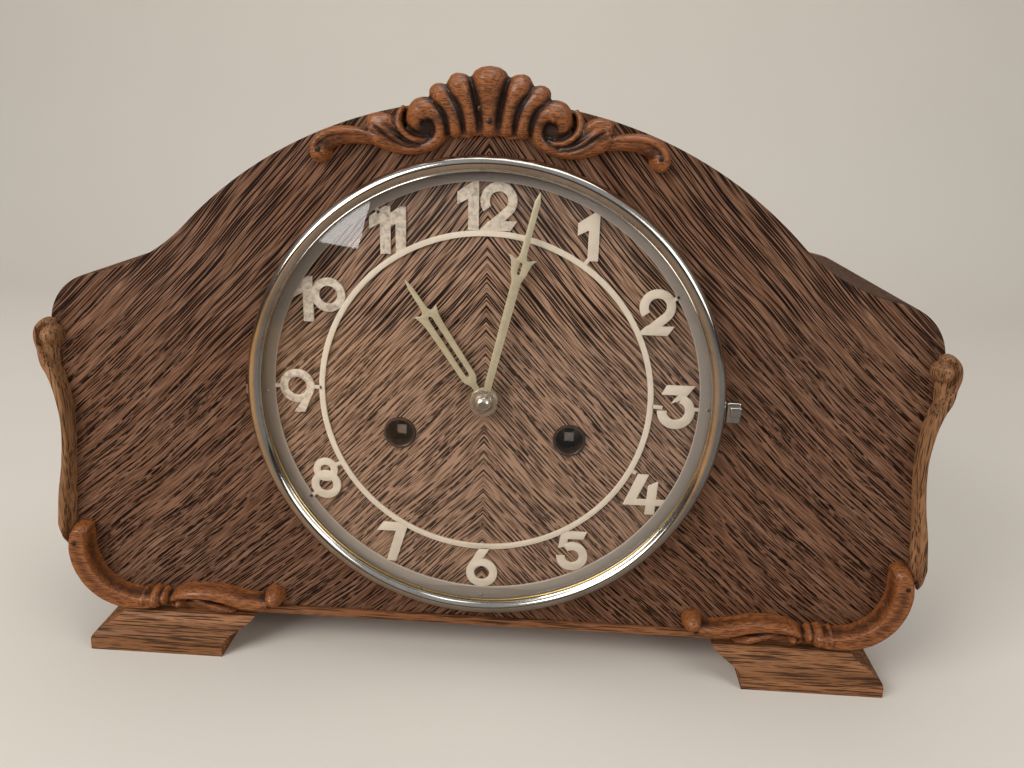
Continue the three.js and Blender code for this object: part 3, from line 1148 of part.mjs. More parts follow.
// Back door on a strip hinge, with a turned knob.
function buildBackDoor() {
  place('back_door', slab(doorOutline(0), BACK_Y, BACK_THICKNESS), plywood);
  const hingeX = DOOR_HALF_WIDTH + DOOR_GAP / 2;
  const hingeY = CASE_DEPTH + HINGE_KNUCKLE_RADIUS;
  const low = DOOR_BOTTOM_Z + HINGE_RISE - DIAL_HEIGHT;
  const high = low + HINGE_LENGTH;
  const near = HINGE_KNUCKLE_RADIUS + SEAT_GAP;
  const sheet = (from, to, z0, z1) => box(
    hingeX + Math.min(from, to), hingeX + Math.max(from, to),
    CASE_DEPTH, CASE_DEPTH + HINGE_PLATE, z0, z1);
  const knuckle = (side, z0, z1) => joined(
    uprightRod(HINGE_KNUCKLE_RADIUS, hingeX, hingeY, z0, z1, SLIM),
    sheet(0, side * (near + SEAT_GAP), z0, z1));
  const lower = low + HINGE_LENGTH / 3;
  const upper = high - HINGE_LENGTH / 3;
  const pin = uprightRod(HINGE_PIN_RADIUS, hingeX, hingeY, low, high, SLIM);
  place('door_hinge_frame_leaf', joined(
    sheet(near, HINGE_LEAF, low, high),
    knuckle(1, lower + HINGE_CLEARANCE, upper - HINGE_CLEARANCE), pin), brass);
  const bore = uprightRod(HINGE_PIN_RADIUS + HINGE_CLEARANCE, hingeX, hingeY, low - 1, high + 1, SLIM);
  const doorLeaf = joined(
    sheet(-near, -HINGE_LEAF, low, high),
    knuckle(-1, low, lower - HINGE_CLEARANCE), knuckle(-1, upper + HINGE_CLEARANCE, high));
  place('door_hinge_leaf', cut(doorLeaf, bore), brass);

  const knob = turned([
    [0, CASE_DEPTH], [KNOB_RADIUS * 0.75, CASE_DEPTH], [KNOB_RADIUS * 0.45, CASE_DEPTH + KNOB_LENGTH * 0.4],
    [KNOB_RADIUS, CASE_DEPTH + KNOB_LENGTH * 0.65], [KNOB_RADIUS * 0.8, CASE_DEPTH + KNOB_LENGTH * 0.92],
    [0, CASE_DEPTH + KNOB_LENGTH]], 10);
  const knobAt = point(KNOB_INSET - DOOR_HALF_WIDTH, DOOR_BOTTOM_Z + DOOR_HEIGHT / 2 - DIAL_HEIGHT);
  placeTurned('door_knob', knob, brass, knobAt);
}

buildCase();
buildFeet();
buildMouldings();
buildCornerCarvings();
buildCrest();
buildChapterRing();
buildGrommets();
buildBezel();
buildHands();
buildPlates();
buildGoingTrain();
buildStrikeTrain();
buildMotionWork();
buildAnchor();
buildPendulum();
buildStrike();
buildBackDoor();

// The origin lies on the table, in the middle of the clock's depth.
clock.position.y = (GLASS_FRONT - CASE_DEPTH - KNOB_LENGTH) / 2;

export default clock;
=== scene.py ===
"""Finished look of an oak mantel clock: boards, carved ornaments, pierced dial, bezel, hands and finishes."""

import json
import math
from contextlib import contextmanager

import bpy
import numpy as np
from mathutils import Matrix, Vector


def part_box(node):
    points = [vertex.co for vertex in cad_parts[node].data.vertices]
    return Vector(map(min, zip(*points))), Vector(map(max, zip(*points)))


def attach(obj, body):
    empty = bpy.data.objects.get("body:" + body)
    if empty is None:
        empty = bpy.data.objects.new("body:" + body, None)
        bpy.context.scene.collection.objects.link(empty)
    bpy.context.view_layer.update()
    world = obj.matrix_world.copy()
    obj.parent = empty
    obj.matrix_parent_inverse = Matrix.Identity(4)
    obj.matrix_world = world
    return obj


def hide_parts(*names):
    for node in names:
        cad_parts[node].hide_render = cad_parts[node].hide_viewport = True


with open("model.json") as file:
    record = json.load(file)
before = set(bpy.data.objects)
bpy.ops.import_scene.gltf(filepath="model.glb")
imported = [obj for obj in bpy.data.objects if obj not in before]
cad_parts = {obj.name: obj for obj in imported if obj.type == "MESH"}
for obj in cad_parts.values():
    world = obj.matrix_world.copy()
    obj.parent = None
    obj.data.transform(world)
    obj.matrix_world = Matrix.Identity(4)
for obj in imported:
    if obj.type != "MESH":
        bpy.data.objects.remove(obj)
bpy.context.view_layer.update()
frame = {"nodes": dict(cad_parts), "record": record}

MM = 0.001
dial_low, dial_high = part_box("chapter_ring")
DIAL_Z = (dial_low.z + dial_high.z) / 2
FACE_Y = dial_high.y
panel_low, panel_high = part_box("front_panel")
back_low, back_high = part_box("back_panel")
PANEL = (panel_high.y - panel_low.y) / MM
BACK = (back_high.y - FACE_Y) / MM
BACK_BOARD = (back_high.y - back_low.y) / MM

# Case outline, in millimetres from the dial's middle: x, z and radius of each arc.
ARCH = (0, -57.2, 179)
SHOULDER = (165, 24, 24)
CORNER = (159, -76, 32)
SWEEP_RADIUS = 80.0
SIDE_RADIUS = 300.0
CASE_BOTTOM = (panel_low.z - DIAL_Z) / MM
BAND = 5.0
PANEL_TOP = 122.0
DOOR_CORNER = 24.0
DOOR_GAP = 0.6

# Feet: lean of the ends, flare of the front, height of the upright toe and easing of the edges.
FOOT_LEAN = 13.0
FOOT_FLARE = 10.0
FOOT_TOE = 4.0
FOOT_EDGE = 1.5

# Dial, bezel and hands: radii from the dial's middle, and rises from the panel's face.
BAND_OUTER = 98.5
BAND_INNER = 91.0
RING_OUTER = 71.7
RING_INNER = 69.3
NUMERAL_RADIUS = 81.3
NUMERAL_HEIGHT = 19.3
TIE_HALF_WIDTH = 0.75
PIN_RADIUS = 94.6
DIAL_THICKNESS = 1.0
BEZEL_RADIUS = 101.5
BEZEL_INNER = 95.2
BEZEL_BACK = 0.3
BEZEL_LIP = 7.3
HINGE_X = -(BEZEL_RADIUS + 1.4)
GLASS_RADIUS = 97.0
GLASS_RISE = 13.0
GLASS_FRONT = 6.4
GLASS_BACK = 4.8
WIND_X = 36.9
WIND_Z = -17.4
KEYHOLE_RADIUS = 6.4
ARBOR_HOLE_RADIUS = 4.7
HAND_THICKNESS = 0.7
MINUTE_ANGLE = 13.4
HOUR_ANGLE = -33.4


# Picking and tidying

def deselect():
    if bpy.context.object and bpy.context.object.mode != "OBJECT":
        bpy.ops.object.mode_set(mode="OBJECT")
    bpy.ops.object.select_all(action="DESELECT")


def pick(*pieces):
    """Selects these pieces alone, the first one active."""
    deselect()
    for piece in pieces:
        piece.select_set(True)
    bpy.context.view_layer.objects.active = pieces[0]


@contextmanager
def editing(piece):
    """Opens the whole mesh in edit mode, and closes it after."""
    pick(piece)
    bpy.ops.object.mode_set(mode="EDIT")
    bpy.ops.mesh.select_all(action="SELECT")
    yield
    bpy.ops.object.mode_set(mode="OBJECT")


def settle(piece):
    """Puts a piece's place, turn and scale into its mesh."""
    pick(piece)
    bpy.ops.object.transform_apply(location=True, rotation=True, scale=True)
    return piece


def weld(piece, reach=0.004):
    """Merges doubled corners and turns the faces outwards."""
    with editing(piece):
        bpy.ops.mesh.remove_doubles(threshold=reach * MM)
        bpy.ops.mesh.normals_make_consistent(inside=False)
    return piece


def smooth(piece, angle=35):
    """Shades the piece smooth, but for edges sharper than the angle."""
    pick(piece)
    bpy.ops.object.shade_smooth_by_angle(angle=math.radians(angle))
    return piece


def together(name, pieces):
    """Joins the pieces into one."""
    pick(*pieces)
    if len(pieces) > 1:
        bpy.ops.object.join()
    piece = bpy.context.object
    piece.name = piece.data.name = name
    return piece


def apply_all(piece):
    """Puts the piece's modifiers into its mesh."""
    pick(piece)
    for modifier in list(piece.modifiers):
        bpy.ops.object.modifier_apply(modifier=modifier.name)


def cut_away(piece, tool):
    """Takes a tool's shape out of the piece, and removes the tool."""
    cut = piece.modifiers.new("cut", "BOOLEAN")
    cut.operation = "DIFFERENCE"
    cut.solver = "EXACT"
    cut.object = tool
    apply_all(piece)
    bpy.data.objects.remove(tool)


def other_side(piece, name):
    """A mirrored copy with its own mesh."""
    pick(piece)
    bpy.ops.object.duplicate(linked=False)
    copy = bpy.context.object
    copy.scale.x = -1
    settle(copy)
    weld(copy, 0.0005)
    copy.name = copy.data.name = name
    return copy


def spot(x, z, rise=0):
    """A place on the clock: x and z from the dial's middle, and the rise before the panel's face."""
    return Vector((x * MM, FACE_Y - rise * MM, DIAL_Z + z * MM))


# Lines drawn on the front

def round_at(degrees, radius, x=0, z=0):
    """The point of a circle at an angle."""
    return x + radius * math.cos(math.radians(degrees)), z + radius * math.sin(math.radians(degrees))


def arc(x, z, radius, start, end, steps=24):
    """Points along an arc, from one angle to another in degrees."""
    return [round_at(start + (end - start) * i / steps, radius, x, z) for i in range(steps + 1)]


def circle(x, z, radius, steps=64):
    return arc(x, z, radius, 0, 360, steps)[:-1]


def meeting(first, first_reach, second, second_reach):
    """Centre of an arc at two distances from two others, on the left of the line between them."""
    dx, dz = second[0] - first[0], second[1] - first[1]
    span = math.hypot(dx, dz)
    along = (span ** 2 + first_reach ** 2 - second_reach ** 2) / (2 * span)
    across = math.sqrt(first_reach ** 2 - along ** 2)
    ux, uz = dx / span, dz / span
    return (first[0] + ux * along - uz * across, first[1] + uz * along + ux * across)


def heading(start, end):
    """The angle in degrees from one point to another."""
    return math.degrees(math.atan2(end[1] - start[1], end[0] - start[0]))


def case_outline(inset=0):
    """The case's outline, or one that runs inside it."""
    sweep = meeting(ARCH, ARCH[2] + SWEEP_RADIUS, SHOULDER, SHOULDER[2] + SWEEP_RADIUS)
    side = meeting(SHOULDER, SHOULDER[2] + SIDE_RADIUS, CORNER, CORNER[2] + SIDE_RADIUS)
    right = (
        arc(*CORNER[:2], CORNER[2] - inset, -90, heading(CORNER, side))
        + arc(*side, SIDE_RADIUS + inset, heading(side, CORNER) % 360, heading(side, SHOULDER) % 360, 20)[1:]
        + arc(*SHOULDER[:2], SHOULDER[2] - inset, heading(SHOULDER, side), heading(SHOULDER, sweep))[1:]
        + arc(*sweep, SWEEP_RADIUS + inset, heading(sweep, SHOULDER), heading(sweep, ARCH), 20)[1:]
        + arc(*ARCH[:2], ARCH[2] - inset, heading(ARCH, sweep), 90, 36)[1:])
    return right + [(-x, z) for x, z in reversed(right[:-1])]


def door_outline(gap):
    """The back door's outline, or one that leaves a gap round it."""
    low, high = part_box("back_door")
    half = high.x / MM + gap
    bottom = (low.z - DIAL_Z) / MM - gap
    top = (high.z - DIAL_Z) / MM + gap
    corner = DOOR_CORNER + gap
    return ([(-half, bottom), (half, bottom)]
            + arc(half - corner, top - corner, corner, 0, 90, 14)
            + arc(corner - half, top - corner, corner, 90, 180, 14))


# Ways of making a piece

def board(name, loops, front, depth, edge=0, rounds=2, turn=(90, 0, 0), place=None):
    """A flat board sawn to closed lines and rounded at its edges; front is the rise of its face."""
    deselect()
    bpy.ops.curve.primitive_bezier_circle_add(radius=MM)
    piece = bpy.context.object
    line = piece.data
    line.dimensions = "2D"
    line.fill_mode = "BOTH"
    line.splines.clear()
    for loop in loops:
        spline = line.splines.new("POLY")
        spline.points.add(len(loop) - 1)
        for knot, (x, z) in zip(spline.points, loop):
            knot.co = (x * MM, z * MM, 0, 1)
        spline.use_cyclic_u = True
    line.extrude = (depth / 2 - edge) * MM
    line.bevel_depth = edge * MM
    line.bevel_resolution = rounds
    line.offset = -edge * MM
    bpy.ops.object.convert(target="MESH")
    piece = bpy.context.object
    piece.rotation_euler = [math.radians(a) for a in turn]
    piece.location = place or spot(0, 0, front - depth / 2)
    settle(piece)
    weld(piece)
    piece.name = piece.data.name = name
    return smooth(piece)


def turned(name, profile, x=0, z=0, steps=96, angle=35):
    """A piece turned on a lathe: radius and rise along its section, about the line through x, z."""
    deselect()
    bpy.ops.mesh.primitive_plane_add(size=MM, location=spot(x + profile[0][0], z, profile[0][1]))
    piece = bpy.context.object
    bpy.ops.object.mode_set(mode="EDIT")
    bpy.ops.mesh.merge(type="CENTER")
    for (r0, h0), (r1, h1) in zip(profile, profile[1:]):
        bpy.ops.mesh.extrude_vertices_move(
            TRANSFORM_OT_translate={"value": ((r1 - r0) * MM, (h0 - h1) * MM, 0)})
    bpy.ops.mesh.select_all(action="SELECT")
    bpy.ops.mesh.spin(steps=steps, angle=2 * math.pi, center=spot(x, z), axis=(0, 1, 0))
    bpy.ops.object.mode_set(mode="OBJECT")
    settle(piece)
    weld(piece)
    piece.name = piece.data.name = name
    return smooth(piece, angle)


def ease_edges(piece, edge, rounds):
    """Rounds every edge."""
    with editing(piece):
        bpy.ops.mesh.bevel(offset=edge * MM, segments=rounds, affect="EDGES")


def block(name, low, high, edge, rounds=3):
    """A rectangular piece between two corners, with its edges eased."""
    deselect()
    bpy.ops.mesh.primitive_cube_add(size=1, location=(Vector(low) + Vector(high)) / 2)
    piece = bpy.context.object
    piece.scale = Vector(high) - Vector(low)
    settle(piece)
    ease_edges(piece, edge, rounds)
    piece.name = piece.data.name = name
    return smooth(piece)


def strand(stations, top, lift=0, level=None):
    """A rounded strand of carving through x, z and half width; top is its rise, planed flat at a level."""
    deselect()
    bpy.ops.curve.primitive_bezier_curve_add(radius=MM)
    piece = bpy.context.object
    line = piece.data
    line.dimensions = "3D"
    line.bevel_depth = MM
    line.bevel_resolution = 9
    line.resolution_u = 12
    line.use_fill_caps = True
    knots = line.splines[0].bezier_points
    knots.add(len(stations) - 2)
    for knot, (x, z, half) in zip(knots, stations):
        knot.co = (x * MM, 0, z * MM)
        knot.radius = half
        knot.handle_left_type = knot.handle_right_type = "AUTO"
    bpy.ops.object.convert(target="MESH")
    piece = bpy.context.object
    piece.location = spot(0, 0, lift)
    piece.scale.y = (top - lift) / max(half for _, _, half in stations)
    settle(piece)
    return plane_off(piece, level) if level else piece


def plane_off(piece, level, way=-1):
    """Takes off what stands before a level, or behind it for a way of 1."""
    with editing(piece):
        bpy.ops.mesh.bisect(plane_co=spot(0, 0, level), plane_no=(0, way, 0), use_fill=True, clear_outer=True)
    return piece


def bead(x, z, radius, top, wide=1):
    """A rounded boss of carving, as wide as its height times a share."""
    deselect()
    bpy.ops.mesh.primitive_uv_sphere_add(radius=radius * MM, segments=40, ring_count=24, location=spot(x, z))
    piece = bpy.context.object
    piece.scale = (wide, top / radius, 1)
    return settle(piece)


def note_hollows(piece):
    """Notes on each corner how hollow the carving is close by and further round, for the carved finish's painted
    shade and painted highlight.
    """
    mesh = piece.data
    count = len(mesh.vertices)
    places = np.array([corner.co for corner in mesh.vertices])
    normals = np.array([corner.normal for corner in mesh.vertices])
    ends = np.empty(len(mesh.edges) * 2, dtype=np.int64)
    mesh.edges.foreach_get("vertices", ends)
    first, second = ends.reshape(-1, 2).T
    way = places[second] - places[first]
    way /= np.maximum(np.linalg.norm(way, axis=1, keepdims=True), 1e-9)
    turn_first, turn_second = (np.einsum("ij,ij->i", normals[end], way) for end in (first, second))
    links = np.maximum(np.bincount(ends, minlength=count), 1)
    bend = (np.bincount(first, turn_first, count) - np.bincount(second, turn_second, count)) / links
    for label, rounds, gain in (("hollow", 4, 4), ("shade", 110, 18)):
        for _ in range(rounds):
            spread = np.bincount(first, bend[second], count) + np.bincount(second, bend[first], count)
            bend = 0.5 * bend + 0.5 * spread / links
        layer = mesh.attributes.new(label, "FLOAT", "POINT")
        layer.data.foreach_set("value", np.clip(0.5 + bend * gain, 0, 1))


def carving(name, strands, grain=0.5, soften=3, seat=None):
    """Strands fused into one carved piece, flat on the panel behind."""
    piece = together(name, strands)
    fuse = piece.modifiers.new("fuse", "REMESH")
    fuse.mode = "VOXEL"
    fuse.voxel_size = grain * MM
    fuse.adaptivity = 0
    ease = piece.modifiers.new("ease", "SMOOTH")
    ease.factor = 0.5
    ease.iterations = soften
    apply_all(piece)
    plane_off(piece, 0.02, 1)
    if seat:
        cut_away(piece, seat)
    weld(piece, 0.0005)
    note_hollows(piece)
    return smooth(piece, 70)


def fit(piece, slot, body, *solids, finish=None):
    """Gives the piece its slot's finish or one of its own, and the body that it moves with."""
    piece.data.materials.clear()
    piece.data.materials.append(finish or FINISHES[slot])
    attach(piece, body)
    if solids:
        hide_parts(*solids)
    return piece


def fit_pair(right, slot, solid, angle, finish=None):
    """Fits a piece of the right side and its mirrored copy on the left."""
    left = smooth(other_side(right, right.name.replace("right", "left")), angle)
    for piece, side in ((right, "right"), (left, "left")):
        fit(piece, slot, "case", f"{solid}_{side}", finish=finish)
    return right, left


# Finishes

def colour(red, green, blue):
    """A colour as it is seen, 0 to 255, for a socket."""
    def linear(v):
        v /= 255
        return v / 12.92 if v <= 0.04045 else ((v + 0.055) / 1.055) ** 2.4
    return (linear(red), linear(green), linear(blue), 1)


def tinted(tone, by):
    """A colour made darker or lighter by a factor."""
    return colour(*[min(255, v * by) for v in tone])


def feed(socket, value):
    """Links a socket to another, or sets its value."""
    if isinstance(value, bpy.types.NodeSocket):
        socket.id_data.links.new(value, socket)
    else:
        socket.default_value = value


def node(tree, kind, values=(), **settings):
    """A new node with its settings and its inputs, in their order or by name."""
    made = tree.nodes.new(kind)
    for key, value in settings.items():
        setattr(made, key, value)
    for key, value in values.items() if isinstance(values, dict) else enumerate(values):
        feed(made.inputs[key], value)
    return made


def tree_of(*values):
    """The node tree that linked values come from."""
    return next(value.id_data for value in values if isinstance(value, bpy.types.NodeSocket))


def maths(operation, *values):
    return node(tree_of(*values), "ShaderNodeMath", values, operation=operation).outputs[0]


def times(first, second):
    return maths("MULTIPLY", first, second)


def from_middle(x, z):
    """Distance from the dial's middle."""
    return maths("SQRT", maths("ADD", times(x, x), times(z, z)))


def axes(vector):
    return node(tree_of(vector), "ShaderNodeSeparateXYZ", (vector,)).outputs


def joined(x, y, z):
    return node(tree_of(x, y, z), "ShaderNodeCombineXYZ", (x, y, z)).outputs[0]


def scaled(vector, by):
    return node(tree_of(vector), "ShaderNodeVectorMath", (vector, by), operation="MULTIPLY").outputs[0]


def cloud(vector, scale=1, detail=2, rough=0.5, warp=0):
    """Soft noise from 0 to 1."""
    made = node(tree_of(vector), "ShaderNodeTexNoise", {
        "Vector": vector, "Scale": scale, "Detail": detail, "Roughness": rough, "Distortion": warp})
    return made.outputs[0]


def between(value, low, high, start=0, end=1):
    """From start to end, as the value goes from low to high."""
    return node(tree_of(value), "ShaderNodeMapRange", (value, low, high, start, end)).outputs[0]


def blend(share, first, second):
    """The first colour, with a share of the second."""
    return node(tree_of(share), "ShaderNodeMix", {0: share, 6: first, 7: second}, data_type="RGBA").outputs[2]


def new_group(name, inputs, outputs):
    """A node group, and the inner ends of its sockets."""
    group = bpy.data.node_groups.new(name, "ShaderNodeTree")
    for label, kind in inputs:
        group.interface.new_socket(label, in_out="INPUT", socket_type=kind)
    for label in outputs:
        group.interface.new_socket(label, in_out="OUTPUT", socket_type="NodeSocketFloat")
    return group, group.nodes.new("NodeGroupInput").outputs, group.nodes.new("NodeGroupOutput").inputs


def make_oak_pores(name, depth):
    """Open pores and slow bands of oak: the grain runs along the vector's x, in millimetres."""
    group, give, take = new_group(name, [
        ("Vector", "NodeSocketVector"), ("Length", "NodeSocketFloat"), ("Width", "NodeSocketFloat"),
        ("Cover", "NodeSocketFloat")], ["Pores", "Bands"])
    thin = maths("DIVIDE", 1, give["Width"])
    long = maths("DIVIDE", 1, give["Length"])
    drawn = scaled(give["Vector"], joined(long, thin, thin))
    cells = node(group, "ShaderNodeTexVoronoi", {"Vector": drawn, "Scale": 1.0}, voronoi_dimensions=depth)
    cells = cells.outputs["Distance"]
    edge = maths("MULTIPLY_ADD", give["Cover"], 0.35, 0.2)
    feed(take["Pores"], between(cells, edge, maths("SUBTRACT", edge, 0.12)))
    slow = scaled(drawn, (0.12, 0.16, 0.16))
    feed(take["Bands"], between(cloud(slow, 1, 4, 0.6), 0.3, 0.7))
    return group


def make_tarnish():
    """Dull patches and fine flecks on metal."""
    group, give, take = new_group("tarnish", [
        ("Vector", "NodeSocketVector"), ("Size", "NodeSocketFloat")], ["Patches", "Flecks"])
    size = maths("DIVIDE", 1, give["Size"])
    drawn = scaled(give["Vector"], joined(size, size, size))
    feed(take["Patches"], between(cloud(drawn, 1, 5, 0.65, 0.6), 0.38, 0.68))
    flecks = cloud(scaled(drawn, (9, 9, 9)))
    feed(take["Flecks"], between(flecks, 0.6, 0.72))
    return group


OAK_PORES = make_oak_pores("oak_pores", "3D")
FACE_PORES = make_oak_pores("veneer_pores", "2D")
TARNISH = make_tarnish()


class Finish:
    """A material with its shader and the clock's own coordinates."""

    def __init__(self, name, **constants):
        self.material = bpy.data.materials.new(name)
        self.material.use_nodes = True
        self.tree = self.material.node_tree
        self.surface = self.tree.nodes["Principled BSDF"]
        for key, value in constants.items():
            self.surface.inputs[key.replace("_", " ")].default_value = value
        self.coords = node(self.tree, "ShaderNodeTexCoord").outputs["Object"]

    def turned_grain(self, degrees=(0, 0, 0)):
        """The clock's own millimetres, turned so that the grain runs along x."""
        mapping = node(self.tree, "ShaderNodeMapping", {
            "Vector": self.coords, "Rotation": tuple(math.radians(a) for a in degrees), "Scale": (1 / MM,) * 3})
        return mapping.outputs[0]

    def pores(self, vector, length, width, cover, group=OAK_PORES):
        """Pores of a length and width in millimetres, and slow bands."""
        made = node(self.tree, "ShaderNodeGroup", {
            "Vector": vector, "Length": length, "Width": width, "Cover": cover}, node_tree=group)
        return made.outputs["Pores"], made.outputs["Bands"]

    def tarnish(self, size):
        """Patches of a size in millimetres, and flecks."""
        values = {"Vector": self.turned_grain(), "Size": size}
        made = node(self.tree, "ShaderNodeGroup", values, node_tree=TARNISH)
        return made.outputs["Patches"], made.outputs["Flecks"]

    def bump(self, height, depth, strength=0.5):
        """Relief as deep as so many millimetres."""
        made = node(self.tree, "ShaderNodeBump", {"Strength": strength, "Distance": depth * MM, "Height": height})
        feed(self.surface.inputs["Normal"], made.outputs[0])

    def give(self, **values):
        """Feeds the shader and hands over the material."""
        for key, value in values.items():
            feed(self.surface.inputs[key.replace("_", " ")], value)
        return self.material


VENEER_TONES = {
    "deep": (108, 76, 57), "light": (146, 110, 88), "patch": (122, 77, 49), "sheltered": (176, 143, 118),
    "edge": (70, 46, 33), "fine": (54, 29, 16), "pore": (26, 11, 5)}
DIAL_TONES = {
    "silver": (216, 202, 182), "dull": (198, 180, 158), "fleck": (160, 142, 122), "worn": (132, 118, 106),
    "band": (148, 138, 128)}


def veneer_finish():
    """Book-matched oak: the grain falls away on both sides, and the dial kept the middle paler."""
    oak = Finish("veneer", Specular_IOR_Level=0.12)
    tone = {label: colour(*value) for label, value in VENEER_TONES.items()}
    parts = axes(oak.coords)
    out = times(maths("ABSOLUTE", parts[0]), 1 / MM)
    up = times(maths("SUBTRACT", parts[2], DIAL_Z), 1 / MM)

    # The grain's own axes: straight lines, steeper towards the top, that drift a little.
    drift = times(maths("SUBTRACT", cloud(oak.coords, 11), 0.5), 12)
    slope = between(up, CASE_BOTTOM, PANEL_TOP, 0.96, 1.3)
    across = maths("ADD", maths("MULTIPLY_ADD", out, slope, up), drift)
    along = times(maths("SUBTRACT", out, up), 0.71)
    grain = joined(along, across, 0)

    # Long pores, whole near the top and broken lower down, and fine ones; none on the board's edge.
    wander = maths("MULTIPLY_ADD", cloud(oak.coords, 16, 3), 90, up)
    high = between(wander, 48, 78)
    whole = between(cloud(scaled(grain, (0.18, 0.5, 0))), 0.36, 0.5)
    pores, bands = oak.pores(grain, length=46, width=1.5, cover=0.6, group=FACE_PORES)
    pores = times(pores, maths("MAXIMUM", whole, high))
    fine, _ = oak.pores(grain, length=16, width=0.92, cover=0.6, group=FACE_PORES)
    face = between(parts[1], FACE_Y + 1.0 * MM, FACE_Y + 0.6 * MM)
    pores, fine = times(face, pores), times(face, fine)

    patches = between(cloud(oak.coords, 9, 3, 0.55), 0.35, 0.65)
    sheltered = between(from_middle(out, up), GLASS_RADIUS, 88)
    base = blend(bands, tone["deep"], tone["light"])
    base = blend(times(patches, 0.35), base, tone["patch"])
    base = blend(times(sheltered, 0.65), base, tone["sheltered"])
    base = blend(face, tone["edge"], base)
    base = blend(times(fine, 0.68), base, tone["fine"])
    base = blend(pores, base, tone["pore"])
    oak.bump(maths("SUBTRACT", 1, pores), depth=0.15)
    return oak.give(Base_Color=base, Roughness=between(pores, 0, 1, 0.42, 0.68))


def oak_finish(name, light, deep, turn=(0, 0, 0), length=26, cover=0.66, gloss=0.46):
    """Stained solid oak with open pores."""
    oak = Finish(name, Specular_IOR_Level=0.15)
    grain = oak.turned_grain(turn)
    pores, bands = oak.pores(grain, length, width=0.8, cover=cover)
    fine, _ = oak.pores(grain, length=8, width=0.6, cover=0.65)
    base = blend(bands, colour(*deep), colour(*light))
    base = blend(times(fine, 0.55), base, tinted(deep, 0.55))
    base = blend(times(pores, 0.85), base, tinted(deep, 0.42))
    oak.bump(maths("SUBTRACT", 1, pores), depth=0.15, strength=0.4)
    return oak.give(Base_Color=base, Roughness=between(pores, 0, 1, gloss, 0.7))


def carved_finish(light, deep, recess_shade):
    """Varnished carving with painted light: painted shade on the lobes' flanks and in the hollows, and a painted
    highlight on raised parts.
    """
    wood = Finish("carved_wood", Specular_IOR_Level=0.35, Coat_Weight=0.4, Coat_Roughness=0.18)
    grain = wood.turned_grain()
    pores, bands = wood.pores(grain, length=4.5, width=0.6, cover=0.85)
    hollow, shade = (node(wood.tree, "ShaderNodeAttribute", attribute_name=label).outputs["Fac"]
                     for label in ("hollow", "shade"))
    mottle = between(cloud(scaled(grain, (0.16, 0.4, 0.6)), 1, 4, 0.7), 0.38, 0.62)
    pale = maths("MULTIPLY_ADD", mottle, 0.7, times(bands, 0.3))
    base = blend(pale, colour(*deep), colour(*light))
    # painted shade: the flanks of the lobes go darker
    base = blend(between(shade, 0.34, 0.58, 0, 0.92), base, tinted(deep, 0.52))
    # painted highlight: the raised parts go paler
    base = blend(between(shade, 0.34, 0.14, 0, 0.6), base, tinted(light, 1.2))
    base = blend(times(pores, 0.58), base, tinted(deep, 0.55))
    # painted shade, nearly black, in the hollows and grooves
    base = blend(between(hollow, 0.54, 0.84, 0, 0.9), base, colour(*recess_shade))
    wood.bump(maths("SUBTRACT", mottle, pores), depth=0.2)
    return wood.give(Base_Color=base, Roughness=between(bands, 0, 1, 0.36, 0.5))


def metal_finish(name, bright, dull, gloss, matt, size, fleck, plated=1):
    """Metal with dull patches and flecks."""
    metal = Finish(name, Metallic=plated)
    patches, flecks = metal.tarnish(size)
    base = blend(times(patches, 0.75), colour(*bright), colour(*dull))
    base = blend(times(flecks, fleck), base, tinted(dull, 0.6))
    return metal.give(Base_Color=base, Roughness=between(patches, 0, 1, gloss, matt))


def dial_finish():
    """Silvering: satin grey on the band, cream on the numerals, worn to specks at the upper left."""
    dial = Finish("silvered_dial", Specular_IOR_Level=0.45)
    tone = {label: colour(*value) for label, value in DIAL_TONES.items()}
    parts = axes(dial.coords)
    up = maths("SUBTRACT", parts[2], DIAL_Z)
    upper_left = maths("SUBTRACT", up, parts[0])
    radius = from_middle(parts[0], up)
    band = between(radius, (BAND_INNER - 0.4) * MM, (BAND_INNER + 0.4) * MM)
    past_ring = between(radius, (RING_OUTER + 0.5) * MM, (RING_OUTER + 1.1) * MM)
    numerals = times(maths("SUBTRACT", 1, band), past_ring)
    worn = times(between(upper_left, 0.03, 0.085), numerals)
    patches, flecks = dial.tarnish(5)
    specks = between(cloud(dial.turned_grain(), 0.45, 5, 0.72), 0.44, 0.64)
    base = blend(times(patches, 0.35), tone["silver"], tone["dull"])
    base = blend(times(flecks, 0.12), base, tone["fleck"])
    base = blend(times(specks, times(worn, 0.75)), base, tone["worn"])
    base = blend(band, base, tone["band"])
    return dial.give(Base_Color=base, Roughness=between(band, 0, 1, 0.5, 0.32))


def plywood_finish(light, deep):
    """Plain plywood, thinly stained."""
    ply = Finish("plywood", Specular_IOR_Level=0.3)
    grain = ply.turned_grain((0, 90, 0))
    pores, bands = ply.pores(grain, length=22, width=1.3, cover=0.45)
    base = blend(bands, colour(*deep), colour(*light))
    base = blend(times(pores, 0.4), base, tinted(deep, 0.62))
    ply.bump(maths("SUBTRACT", 1, pores), depth=0.08, strength=0.3)
    return ply.give(Base_Color=base, Roughness=between(bands, 0, 1, 0.6, 0.75))


# Metals: bright and dull colour, roughness of both, size of the patches, share of flecks, and how metallic.
METALS = {
    "chrome": ((226, 222, 214), (186, 176, 160), 0.07, 0.2, 30, 0.2),
    "gilt": ((216, 206, 174), (190, 176, 142), 0.36, 0.5, 7, 0.2, 0.6),
    "dark_steel": ((78, 60, 45), (48, 36, 27), 0.34, 0.55, 4, 0.3, 0.6),
    "brass": ((216, 182, 110), (196, 160, 92), 0.26, 0.38, 34, 0.15),
    "steel": ((184, 184, 184), (152, 150, 147), 0.26, 0.4, 20, 0.2),
    "iron": ((74, 72, 72), (50, 46, 44), 0.5, 0.75, 6, 0.4, 0.4)}

